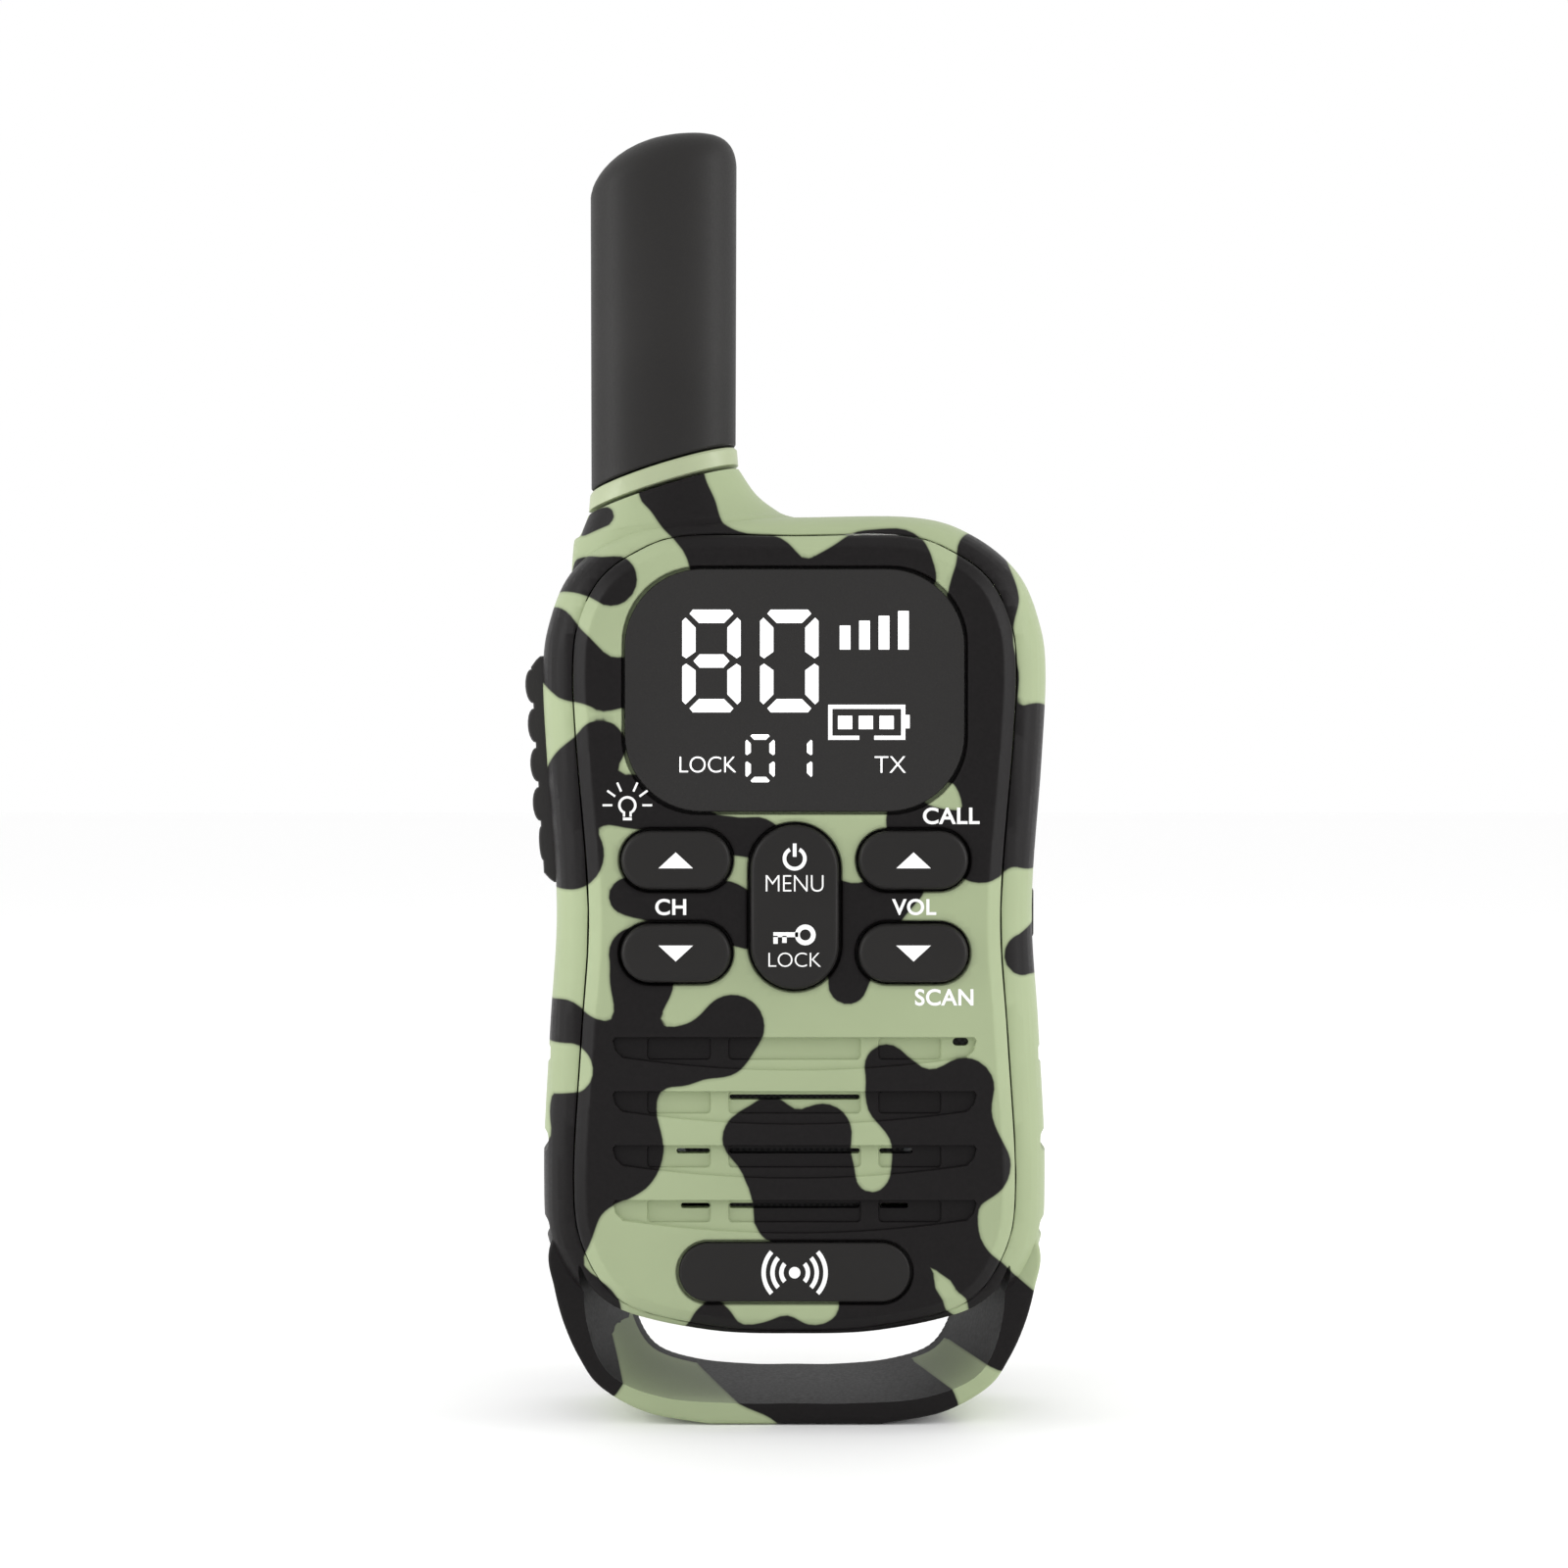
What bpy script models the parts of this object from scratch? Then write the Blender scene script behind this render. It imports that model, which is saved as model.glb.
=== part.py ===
"""Toy walkie talkie: a hand-held two-way radio for children, as separate solids.

The origin is the centre of the flat foot of the lanyard loop. +Z runs up to the antenna,
-Y is the front with the display and keys, and +X is the right side seen from the front.
Every dimension below is in millimetres, and MM turns it into Blender's metres.
"""
import math

import bmesh
import bpy
from mathutils import Matrix, Vector

MM = 0.001
GAP = 0.3                 # clearance between neighbouring solids
WALL = 1.8                # housing wall

# Depth stations, front to back
FRONT_Y = -12.5           # flat face of the front cover
SEAM_Y = -10.2            # joint between front cover and rear shell
BOARD_Y = -5.3            # front face of the circuit board
PARTITION_Y = -1.0        # front face of the battery box
BACK_Y = 12.5             # back of the rear shell

# Front view: half outlines, from the top centre down the right side to the bottom centre
SEAM_HALF = [(0, 102.2), (12.5, 102.2), (18.4, 100.2), (22.5, 97.0), (24.9, 92.0), (25.5, 86.5), (25.1, 78.0),
             (23.7, 59.5), (24.5, 45.0), (25.4, 29.0), (24.3, 20.8), (19.6, 14.5), (9.5, 11.8), (0, 11.3)]
WIDE_HALF = [(0, 104.8), (13.9, 104.8), (20.8, 102.7), (26.2, 98.2), (28.7, 92.3), (29.4, 86.5), (28.9, 76.0),
             (27.8, 59.5), (28.6, 45.0), (29.3, 29.0), (28.3, 19.5), (22.5, 13.2), (10.5, 10.6), (0, 10.2)]
LOOP_HALF = [(26.0, 26.0), (28.3, 20.0), (27.7, 15.7), (26.6, 11.6), (24.8, 7.6), (22.3, 4.2), (17.0, 1.3),
             (10.0, 0)]
GAP_FRONT_HALF = [(0, 11.0), (9.5, 11.3), (18.5, 13.2), (22.6, 15.6), (24.4, 18.4), (24.3, 12.0), (21.8, 6.0),
                  (15.5, 3.1), (7.0, 2.4), (0, 2.4)]
GAP_BACK_HALF = [(0, 11.0), (8.5, 11.2), (14.0, 12.0), (17.6, 12.6), (19.3, 12.4), (19.0, 9.0), (16.6, 5.4),
                 (11.5, 3.7), (5.0, 3.1), (0, 3.1)]
LOOP_FRONT_Y = -7.4
LOOP_BACK_Y = 9.4

# Antenna
ANTENNA_X = -15.4
ANTENNA_RX = 8.6
ANTENNA_RY = 7.5
ANTENNA_TILT = math.tan(math.radians(17.4))
COLLAR_Z = 108.1          # underside of the collar, on the antenna's axis
COLLAR_HEIGHT = 2.5
ANTENNA_TOP = 150.0

# Front controls
LENS_SIZE = (38.5, 27.5)
LENS_RADIUS = 8.8
LENS_Z = 84.3
KEY_SIZE = (12.4, 6.6)
KEY_X = 13.4
KEY_UP_Z = 65.1
KEY_DOWN_Z = 54.6
ROCKER_SIZE = (10.0, 18.6)
ROCKER_Z = 59.8
BADGE_SIZE = (26.2, 6.7)
BADGE_Z = 18.5
KEY_FACE_Y = -13.3
KEY_FLANGE_Y = -9.4

# Grille: four channels, and slots through the lower rows
GRILLE_TOPS = [45.1, 39.0, 32.9, 26.7]
GRILLE_HALF_WIDTH = 20.6
GRILLE_DEPTH = 0.8
SLOT_HEIGHT = 0.6
SLOT_ROWS = {1: [(-7.4, 7.4)], 2: [(-13.4, -9.6), (-7.4, 7.4), (9.6, 13.4)],
             3: [(-12.9, -9.6), (-7.4, 7.4), (9.6, 12.9)]}
MIC_X = 18.8
MIC_Z = 44.5
SPEAKER_Z = 35.5
SPEAKER_R = 14.0

# Sides
PTT_LOW_Z = 62.2
PTT_HIGH_Z = 88.7
PTT_Y = (-3.2, 5.2)
GRIP_Z = [42.5, 32.5, 22.5]
JACK_Z = (55.8, 61.6)
JACK_Y = (-2.7, 3.0)
LAMP_X = 9.0

# Back
CELL_R = 5.25
CELL_LENGTH = 44.5
CELL_XS = [-11.2, 0.0, 11.2]
CELL_Y = 5.75
CELL_LOW_Z = 20.8
BOX_X = 17.2
BOX_Z = (17.0, 68.5)
DOOR_X = 18.4
DOOR_HINGE = (11.4, 70.6)          # y, z of the battery door's hinge axis
DOOR_LOW_Z = 15.0
CLIP_PIVOT = (14.7, 59.5)          # y, z of the belt clip's pin
SCREW_X = 22.9
SCREW_ZS = [30.0, 92.5]
SCREW_R = 0.8


# ---------------------------------------------------------------- scene and materials

def clear_scene():
    for item in list(bpy.data.objects):
        bpy.data.objects.remove(item, do_unlink=True)


def new_collection(name):
    group = bpy.data.collections.new(name)
    bpy.context.scene.collection.children.link(group)
    return group


clear_scene()
PARTS = new_collection("toy_walkie_talkie")
CUTTERS = new_collection("cutters")
ROOT = bpy.data.objects.new("walkie_talkie_frame", None)
PARTS.objects.link(ROOT)


def material(name, colour, roughness, metallic=0.0):
    found = bpy.data.materials.get(name)
    if found:
        return found
    made = bpy.data.materials.new(name)
    made.use_nodes = True
    shader = made.node_tree.nodes["Principled BSDF"]
    shader.inputs["Base Color"].default_value = (*colour, 1.0)
    shader.inputs["Roughness"].default_value = roughness
    shader.inputs["Metallic"].default_value = metallic
    made.diffuse_color = (*colour, 1.0)
    return made


GREEN = material("camouflage_green_plastic", (0.38, 0.45, 0.27), 0.5)
COLLAR_GREEN = material("collar_green_plastic", (0.42, 0.50, 0.30), 0.5)
BLACK_RUBBER = material("black_rubber", (0.035, 0.034, 0.032), 0.7)
BLACK_PLASTIC = material("black_plastic", (0.03, 0.03, 0.03), 0.45)
SMOKED = material("smoked_acrylic", (0.035, 0.034, 0.033), 0.15)
LCD_GLASS = material("lcd_glass", (0.25, 0.28, 0.24), 0.2)
WHITE_PLASTIC = material("white_plastic", (0.75, 0.75, 0.72), 0.5)
BOARD_GREEN = material("circuit_board", (0.03, 0.16, 0.07), 0.5)
SILICONE = material("silicone", (0.55, 0.56, 0.55), 0.6)
STEEL = material("steel", (0.55, 0.55, 0.56), 0.3, 1.0)
COPPER = material("copper", (0.75, 0.36, 0.20), 0.3, 1.0)
PAPER = material("cone_paper", (0.06, 0.055, 0.05), 0.9)
CLOTH = material("speaker_cloth", (0.03, 0.03, 0.03), 0.95)
CELL_WRAP = material("cell_wrap", (0.10, 0.22, 0.38), 0.35)
CLEAR = material("clear_acrylic", (0.85, 0.87, 0.88), 0.1)
RED_WIRE = material("red_wire", (0.5, 0.03, 0.03), 0.5)
BLACK_WIRE = material("black_wire", (0.02, 0.02, 0.02), 0.5)


# ---------------------------------------------------------------- outlines

def smooth(points, steps, closed):
    """Points along a Catmull-Rom curve through the given points."""
    count = len(points)
    spans = count if closed else count - 1
    result = []
    for i in range(spans):
        if closed:
            a, b, c, d = (points[(i + k) % count] for k in (-1, 0, 1, 2))
        else:
            a, b, c, d = (points[min(max(i + k, 0), count - 1)] for k in (-1, 0, 1, 2))
        for k in range(steps):
            t = k / steps
            result.append(tuple(
                0.5 * (2 * q + (r - p) * t + (2 * p - 5 * q + 4 * r - s) * t * t + (3 * q - p - 3 * r + s) * t ** 3)
                for p, q, r, s in zip(a, b, c, d)))
    if not closed:
        result.append(tuple(points[-1]))
    return result


def mirrored(half):
    """A closed outline from a right half that starts and ends on the centre line."""
    return list(half) + [(-x, z) for x, z in reversed(half[1:-1])]


def body_outline(half, steps=3):
    return smooth(mirrored(half), steps, closed=True)


def rounded(width, height, radius, centre=(0, 0), steps=5):
    """A rectangle with round corners, as x, z points."""
    radius = min(radius, width / 2, height / 2)
    points = []
    for sx, sz, start in ((1, 1, 0), (-1, 1, 90), (-1, -1, 180), (1, -1, 270)):
        for k in range(steps + 1):
            angle = math.radians(start + 90 * k / steps)
            x = centre[0] + sx * (width / 2 - radius) + radius * math.cos(angle)
            z = centre[1] + sz * (height / 2 - radius) + radius * math.sin(angle)
            if not points or math.dist((x, z), points[-1]) > 1e-6:
                points.append((x, z))
    return points


def inset(outline, distance):
    """The outline moved inward by a distance, along the normals of its points."""
    count = len(outline)
    area = sum(outline[i][0] * outline[(i + 1) % count][1] - outline[(i + 1) % count][0] * outline[i][1]
               for i in range(count))
    side = 1 if area > 0 else -1
    result = []
    for i, (x, z) in enumerate(outline):
        before = Vector(outline[i - 1])
        after = Vector(outline[(i + 1) % count])
        along = (after - before).normalized()
        result.append((x - side * along.y * distance, z + side * along.x * distance))
    return result


def between(first, second, share):
    return [(a[0] + (b[0] - a[0]) * share, a[1] + (b[1] - a[1]) * share) for a, b in zip(first, second)]


# ---------------------------------------------------------------- solids

def add_object(name, mesh, look, origin=(0, 0, 0), cutter=False):
    """Link a mesh that is in world millimetres, with its origin moved to a given point."""
    mesh.transform(Matrix.Translation(-Vector(origin)))
    mesh.transform(Matrix.Scale(MM, 4))
    item = bpy.data.objects.new(name, mesh)
    item.location = Vector(origin) * MM
    if cutter:
        CUTTERS.objects.link(item)
        item.hide_render = True
        item.display_type = "WIRE"
        return item
    PARTS.objects.link(item)
    item.parent = ROOT
    if look:
        mesh.materials.append(look)
        mesh.shade_smooth()
        mesh.set_sharp_from_angle(angle=math.radians(30))
    return item


def mesh_from(bm, name):
    bmesh.ops.recalc_face_normals(bm, faces=bm.faces)
    mesh = bpy.data.meshes.new(name)
    bm.to_mesh(mesh)
    bm.free()
    return mesh


def loft(name, rings, look=None, origin=(0, 0, 0), cutter=False):
    """A capped solid through rings of x, y, z points; every ring has as many points."""
    bm = bmesh.new()
    rows = [[bm.verts.new(point) for point in ring] for ring in rings]
    count = len(rows[0])
    for low, high in zip(rows, rows[1:]):
        for i in range(count):
            k = (i + 1) % count
            bm.faces.new((low[i], low[k], high[k], high[i]))
    bm.faces.new(rows[0])
    bm.faces.new(rows[-1])
    return add_object(name, mesh_from(bm, name), look, origin, cutter)


def at_depth(outline, y):
    return [(x, y, z) for x, z in outline]


def depth_loft(name, stations, look=None, origin=(0, 0, 0), cutter=False):
    """A loft through (outline, y) stations."""
    return loft(name, [at_depth(outline, y) for outline, y in stations], look, origin, cutter)


def plate(name, outline, low_y, high_y, look=None, origin=(0, 0, 0), cutter=False, turn=None):
    """A flat x, z outline made thick along Y, as a filled 2D curve turned into a mesh."""
    curve = bpy.data.curves.new(name, "CURVE")
    curve.dimensions = "2D"
    curve.fill_mode = "BOTH"
    curve.extrude = (high_y - low_y) / 2
    spline = curve.splines.new("POLY")
    spline.points.add(len(outline) - 1)
    for point, (x, z) in zip(spline.points, outline):
        point.co = (x, z, 0, 1)
    spline.use_cyclic_u = True
    return from_curve(name, curve, Matrix.Translation((0, (low_y + high_y) / 2, 0)) @ Matrix.Rotation(
        math.pi / 2, 4, "X"), look, origin, cutter, turn)


def from_curve(name, curve, placing, look, origin=(0, 0, 0), cutter=False, turn=None):
    """Turn a curve into a closed mesh, weld its caps and place it."""
    holder = bpy.data.objects.new(name + "_curve", curve)
    CUTTERS.objects.link(holder)
    bpy.context.view_layer.update()
    ready = holder.evaluated_get(bpy.context.evaluated_depsgraph_get())
    mesh = bpy.data.meshes.new_from_object(ready)
    bpy.data.objects.remove(holder, do_unlink=True)
    bm = bmesh.new()
    bm.from_mesh(mesh)
    bmesh.ops.remove_doubles(bm, verts=bm.verts, dist=0.001)
    mesh.materials.clear()
    bmesh.ops.transform(bm, matrix=placing, verts=bm.verts)
    if turn:
        bmesh.ops.transform(bm, matrix=turn, verts=bm.verts)
    bpy.data.meshes.remove(mesh)
    return add_object(name, mesh_from(bm, name), look, origin, cutter)


def box(name, low, high, look=None, origin=(0, 0, 0), cutter=False, turn=None):
    """A box between two corners, from Blender's cube."""
    bm = bmesh.new()
    bmesh.ops.create_cube(bm, size=1.0)
    size = Vector(high) - Vector(low)
    middle = (Vector(high) + Vector(low)) / 2
    bmesh.ops.transform(bm, matrix=Matrix.Translation(middle) @ Matrix.Diagonal((*size, 1)), verts=bm.verts)
    if turn:
        bmesh.ops.transform(bm, matrix=turn, verts=bm.verts)
    return add_object(name, mesh_from(bm, name), look, origin, cutter)


def axis_turn(axis):
    """Rotation that takes local +Z to a world axis."""
    return Vector((0, 0, 1)).rotation_difference(Vector(axis)).to_matrix().to_4x4()


def cylinder(name, start, axis, radius, length, look=None, origin=(0, 0, 0), cutter=False, sides=24,
             tip=None):
    """A round bar from a start point along an axis; tip gives the far end another radius."""
    bm = bmesh.new()
    bmesh.ops.create_cone(bm, cap_ends=True, segments=sides, radius1=radius,
                          radius2=radius if tip is None else tip, depth=length)
    place = Matrix.Translation(start) @ axis_turn(axis) @ Matrix.Translation((0, 0, length / 2))
    bmesh.ops.transform(bm, matrix=place, verts=bm.verts)
    return add_object(name, mesh_from(bm, name), look, origin, cutter)


def turned(name, profile, start, axis, look, sides=20):
    """A turned piece: (radius, height) points from top to bottom, spun with a Screw modifier."""
    bm = bmesh.new()
    chain = [bm.verts.new((radius * MM, 0, height * MM)) for radius, height in profile]
    for a, b in zip(chain, chain[1:]):
        bm.edges.new((a, b))
    if profile[0][0] > 0:
        bm.edges.new((chain[-1], chain[0]))
    mesh = bpy.data.meshes.new(name)
    bm.to_mesh(mesh)
    bm.free()
    item = bpy.data.objects.new(name, mesh)
    item.location = Vector(start) * MM
    item.rotation_euler = axis_turn(axis).to_euler()
    PARTS.objects.link(item)
    item.parent = ROOT
    mesh.materials.append(look)
    spin = item.modifiers.new("spin", "SCREW")
    spin.steps = sides
    spin.render_steps = sides
    spin.use_merge_vertices = True
    spin.merge_threshold = 0.00001
    return item


def wire(name, points, radius, look, origin=(0, 0, 0), cyclic=False):
    """A round wire along a list of points, as a bevelled poly curve with filled caps."""
    curve = bpy.data.curves.new(name, "CURVE")
    curve.dimensions = "3D"
    curve.bevel_depth = radius
    curve.bevel_resolution = 1
    curve.use_fill_caps = True
    spline = curve.splines.new("POLY")
    spline.points.add(len(points) - 1)
    for point, place in zip(spline.points, points):
        point.co = (*place, 1)
    spline.use_cyclic_u = cyclic
    return from_curve(name, curve, Matrix.Identity(4), look, origin)


def helix(centre, axis, radius, low, high, turns, per_turn=10):
    """Points of a coil round an axis through a centre, from low to high along it."""
    turn = axis_turn(axis)
    points = []
    for i in range(int(turns * per_turn) + 1):
        angle = 2 * math.pi * i / per_turn
        along = low + (high - low) * i / (turns * per_turn)
        local = Vector((radius * math.cos(angle), radius * math.sin(angle), along))
        points.append(tuple(turn @ local + Vector(centre)))
    return points


def boolean(item, other, operation):
    step = item.modifiers.new(operation.lower(), "BOOLEAN")
    step.operation = operation
    step.solver = "EXACT"
    step.object = other


def cut(item, *others):
    for other in others:
        boolean(item, other, "DIFFERENCE")


def join(item, *others):
    for other in others:
        boolean(item, other, "UNION")


def bevel(item, width, segments=2, angle=40):
    step = item.modifiers.new("round_edges", "BEVEL")
    step.width = width * MM
    step.segments = segments
    step.limit_method = "ANGLE"
    step.angle_limit = math.radians(angle)


# ---------------------------------------------------------------- housing

def body_rings(skin=0.0):
    """Stations of the rear shell's outside, or of its inside when skin is the wall."""
    seam = body_outline(SEAM_HALF)
    wide = body_outline(WIDE_HALF)
    flare = [(SEAM_Y, 0.0), (-9.2, 0.42), (-7.4, 0.74), (-4.8, 0.94), (-1.5, 1.0)]
    rings = [(inset(between(seam, wide, share), skin), y) for y, share in flare]
    rounding = [(4.5, 0.0), (8.5, 0.7), (11.2, 2.2), (BACK_Y, 4.4)]
    for y, pull in rounding:
        rings.append((inset(wide, pull + skin), min(y, BACK_Y - skin)))
    return rings


def antenna_ring(z, rx, ry, tilt=ANTENNA_TILT, centre=ANTENNA_X, count=28):
    """An upright oval tube's section on a tilted plane; z is its height on the antenna's axis."""
    ring = []
    for k in range(count):
        angle = 2 * math.pi * k / count
        x = centre + rx * math.cos(angle)
        ring.append((x, ry * math.sin(angle), z + tilt * (x - ANTENNA_X)))
    return ring


def neck():
    """The root of the antenna, which grows out of the shell's top left corner."""
    rings = [antenna_ring(96.0, 12.0, 9.5, 0, -14.6), antenna_ring(102.5, 11.6, 9.2, 0.08, -14.4),
             antenna_ring(105.2, 10.4, 8.6, 0.22, -15.1), antenna_ring(COLLAR_Z - 0.15, 8.9, 7.7)]
    return loft("neck", rings, cutter=True)


def loop_blank():
    half = smooth(LOOP_HALF, 3, closed=False)
    outline = half + [(-x, z) for x, z in reversed(half)]
    blank = plate("lanyard_loop", outline, LOOP_FRONT_Y, LOOP_BACK_Y, cutter=True)
    bevel(blank, 0.7, 1)
    return blank


def loop_gap():
    front = body_outline(GAP_FRONT_HALF, 2)
    back = body_outline(GAP_BACK_HALF, 2)
    beyond_front = between(back, front, 1.15)
    beyond_back = between(front, back, 1.3)
    return depth_loft("lanyard_gap", [(beyond_front, LOOP_FRONT_Y - 4), (beyond_back, LOOP_BACK_Y + 5)],
                      cutter=True)


def shell_hollow():
    """The electronics space, with the battery box left standing in it."""
    rings = body_rings(WALL)
    rings[0] = (rings[0][0], SEAM_Y - 1)
    hollow = depth_loft("shell_hollow", rings, cutter=True)
    wall_x = DOOR_X + 1.2
    keep = box("battery_box", (-wall_x, PARTITION_Y, BOX_Z[0] - 3.2), (wall_x, BACK_Y + 4, BOX_Z[1] + 4.8),
               cutter=True)
    cut(hollow, keep)
    for x in (-SCREW_X, SCREW_X):
        for z in SCREW_ZS:
            cut(hollow, cylinder("boss", (x, SEAM_Y - 3, z), (0, 1, 0), 2.2, 30, cutter=True, sides=16))
    return hollow


def ptt_turn():
    """The side wall leans; this leans a block about the middle of the push-to-talk button."""
    middle = Vector((-28.6, 0, (PTT_LOW_Z + PTT_HIGH_Z) / 2))
    return Matrix.Translation(middle) @ Matrix.Rotation(math.radians(-3.6), 4,
                                                        "Y") @ Matrix.Translation(-middle)


def build_rear_shell():
    shell = depth_loft("rear_shell", body_rings(), GREEN)
    join(shell, neck(), loop_blank())
    cut(shell, loop_gap(), shell_hollow())
    compartment = box("compartment", (-BOX_X, PARTITION_Y + 1.2, BOX_Z[0]), (BOX_X, BACK_Y + 4, BOX_Z[1]),
                      cutter=True)
    recess_floor = BACK_Y - 1.2 - GAP
    recess = box("door_recess", (-DOOR_X - GAP, recess_floor, DOOR_LOW_Z - GAP),
                 (DOOR_X + GAP, BACK_Y + 4, DOOR_HINGE[1]), cutter=True)
    groove = cylinder("hinge_groove", (-DOOR_X - GAP, *DOOR_HINGE), (1, 0, 0), 1.1 + GAP, 2 * (DOOR_X + GAP),
                      cutter=True, sides=16)
    cut(shell, compartment, recess, groove)
    window = box("ptt_window", (-34, PTT_Y[0] - GAP, PTT_LOW_Z - GAP),
                 (-26.3, PTT_Y[1] + GAP, PTT_HIGH_Z + GAP),
                 cutter=True, turn=ptt_turn())
    cut(shell, window)
    jack_recess = box("jack_recess", (27.0, JACK_Y[0] - GAP, JACK_Z[0] - GAP),
                      (33, JACK_Y[1] + 0.35, JACK_Z[1] + GAP),
                      cutter=True)
    jack_window = box("jack_window", (24.0, -1.6, JACK_Z[0] + 0.6), (29, 1.6, JACK_Z[1] - 0.6), cutter=True)
    cut(shell, jack_recess, jack_window)
    cut(shell, cylinder("lamp_hole", (LAMP_X, -0.5, 98), (0, 0, 1), 2.8 + GAP, 12, cutter=True, sides=20))
    cut(shell, cylinder("antenna_bore", (ANTENNA_X, 0, 94), (0, 0, 1), 4.2, 30, cutter=True, sides=20))
    for x in (-SCREW_X, SCREW_X):
        for z in SCREW_ZS:
            cut(shell, cylinder("screw_hole", (x, SEAM_Y - 3, z), (0, 1, 0), SCREW_R + GAP, 30, cutter=True,
                                sides=12))
            cut(shell, cylinder("screw_head_hole", (x, 6.0, z), (0, 1, 0), 1.9, 12, cutter=True, sides=12))
    for side in (-1, 1):
        for z in GRIP_Z:
            cut(shell, box("grip_groove", (side * 30.6 - 2.0, -7.5, z - 1.0),
                           (side * 30.6 + 2.0, 6.0, z + 1.0),
                           cutter=True))
    return shell


def channel_outline(top, low_trim=0.0):
    """A grille channel: flat above, bowed below, with slanted ends."""
    half = GRILLE_HALF_WIDTH - low_trim
    end_height = 2.2
    middle_height = 3.8
    points = [(-half + 0.7, top), (half - 0.7, top), (half, top - 0.8)]
    steps = 8
    for k in range(steps + 1):
        x = (half - 0.5) * (1 - 2 * k / steps)
        height = middle_height - (middle_height - end_height) * (x / half) ** 2
        points.append((x, top - height))
    points.append((-half, top - 0.8))
    return points


def build_front_cover():
    seam = body_outline(SEAM_HALF)
    face = inset(seam, 2.0)
    stations = [(seam, SEAM_Y - 0.1), (seam, SEAM_Y - 0.7), (inset(seam, 0.6), SEAM_Y - 1.4),
                (inset(face, -0.4), FRONT_Y + 0.25), (face, FRONT_Y)]
    cover = depth_loft("front_cover", stations, GREEN)
    lens_centre = (0, LENS_Z)
    width, height = LENS_SIZE
    cut(cover, plate("lens_recess", rounded(width + 2 * GAP, height + 2 * GAP, LENS_RADIUS, lens_centre),
                     FRONT_Y - 1,
                     -11.0, cutter=True))
    cut(cover, plate("lens_window", rounded(width - 4, height - 4, 7.0, lens_centre, 3), FRONT_Y - 1,
                     SEAM_Y + 1,
                     cutter=True))
    for x in (-KEY_X, KEY_X):
        for z in (KEY_UP_Z, KEY_DOWN_Z):
            well = rounded(KEY_SIZE[0] + 2 * GAP, KEY_SIZE[1] + 2 * GAP, 9, (x, z))
            cut(cover, plate("key_well", well, FRONT_Y - 1, SEAM_Y + 1, cutter=True))
    well = rounded(ROCKER_SIZE[0] + 2 * GAP, ROCKER_SIZE[1] + 2 * GAP, 9, (0, ROCKER_Z))
    cut(cover, plate("rocker_well", well, FRONT_Y - 1, SEAM_Y + 1, cutter=True))
    well = rounded(BADGE_SIZE[0] + 2 * GAP, BADGE_SIZE[1] + 2 * GAP, 9, (0, BADGE_Z))
    cut(cover, plate("badge_recess", well, FRONT_Y - 1, -11.4, cutter=True))
    for row, top in enumerate(GRILLE_TOPS):
        cut(cover, plate("channel", channel_outline(top), FRONT_Y - 1, FRONT_Y + GRILLE_DEPTH, cutter=True))
        for low, high in SLOT_ROWS.get(row, []):
            cut(cover, box("slot", (low, FRONT_Y - 1, top - 1.1), (high, SEAM_Y + 1, top - 1.1 + SLOT_HEIGHT),
                           cutter=True))
    cut(cover, plate("mic_hole", rounded(1.8, 0.9, 0.45, (MIC_X, MIC_Z), 2), FRONT_Y - 1, SEAM_Y + 1,
                     cutter=True))
    for x in (-SCREW_X, SCREW_X):
        for z in SCREW_ZS:
            cut(cover, cylinder("pilot_hole", (x, -11.3, z), (0, 1, 0), SCREW_R + GAP, 4, cutter=True,
                                sides=12))
    return cover


# ---------------------------------------------------------------- antenna

def build_antenna():
    top = COLLAR_Z + COLLAR_HEIGHT
    low_outer = antenna_ring(COLLAR_Z + GAP, ANTENNA_RX + 0.2, ANTENNA_RY + 0.2)
    high_outer = antenna_ring(top, ANTENNA_RX, ANTENNA_RY)
    collar = loft("antenna_collar", [low_outer, high_outer], COLLAR_GREEN)
    cut(collar, cylinder("collar_bore", (ANTENNA_X, 0, 100), (0, 0, 1), 3.9, 20, cutter=True, sides=20))
    rings = [antenna_ring(top + GAP, ANTENNA_RX - 0.1, ANTENNA_RY - 0.1)]
    shoulder = 144.6
    shoulder_tilt = 0.22
    rings.append(antenna_ring(shoulder, ANTENNA_RX, ANTENNA_RY, shoulder_tilt))
    steps = 5
    for k in range(1, steps + 1):
        angle = math.pi / 2 * k / (steps + 0.4)
        shrink = math.cos(angle) ** 0.8
        rise = math.sin(angle)
        slide = 3.4 * (1 - shrink)
        rings.append(antenna_ring(shoulder + (ANTENNA_TOP - shoulder) * rise, ANTENNA_RX * shrink,
                                  ANTENNA_RY * shrink, shoulder_tilt * shrink, ANTENNA_X + slide))
    excess = max(z for ring in rings for x, y, z in ring) - ANTENNA_TOP
    rings[2:] = [[(x, y, z - excess) for x, y, z in ring] for ring in rings[2:]]
    sleeve = loft("antenna_sleeve", rings, BLACK_RUBBER)
    cut(sleeve, cylinder("sleeve_bore", (ANTENNA_X, 0, 100), (0, 0, 1), 4.6, 44, cutter=True, sides=20))
    coil = helix((ANTENNA_X, 0, 0), (0, 0, 1), 3.2, 116, 141, 9, 8)
    wire("antenna_coil", coil, 0.4, COPPER)
    profile = [(0, 142), (2.2, 142), (2.2, 112), (3.4, 112), (3.4, 97.5), (0, 97.5)]
    turned("antenna_core", profile, (ANTENNA_X, 0, 0), (0, 0, 1), WHITE_PLASTIC, 16)


# ---------------------------------------------------------------- front controls

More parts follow.
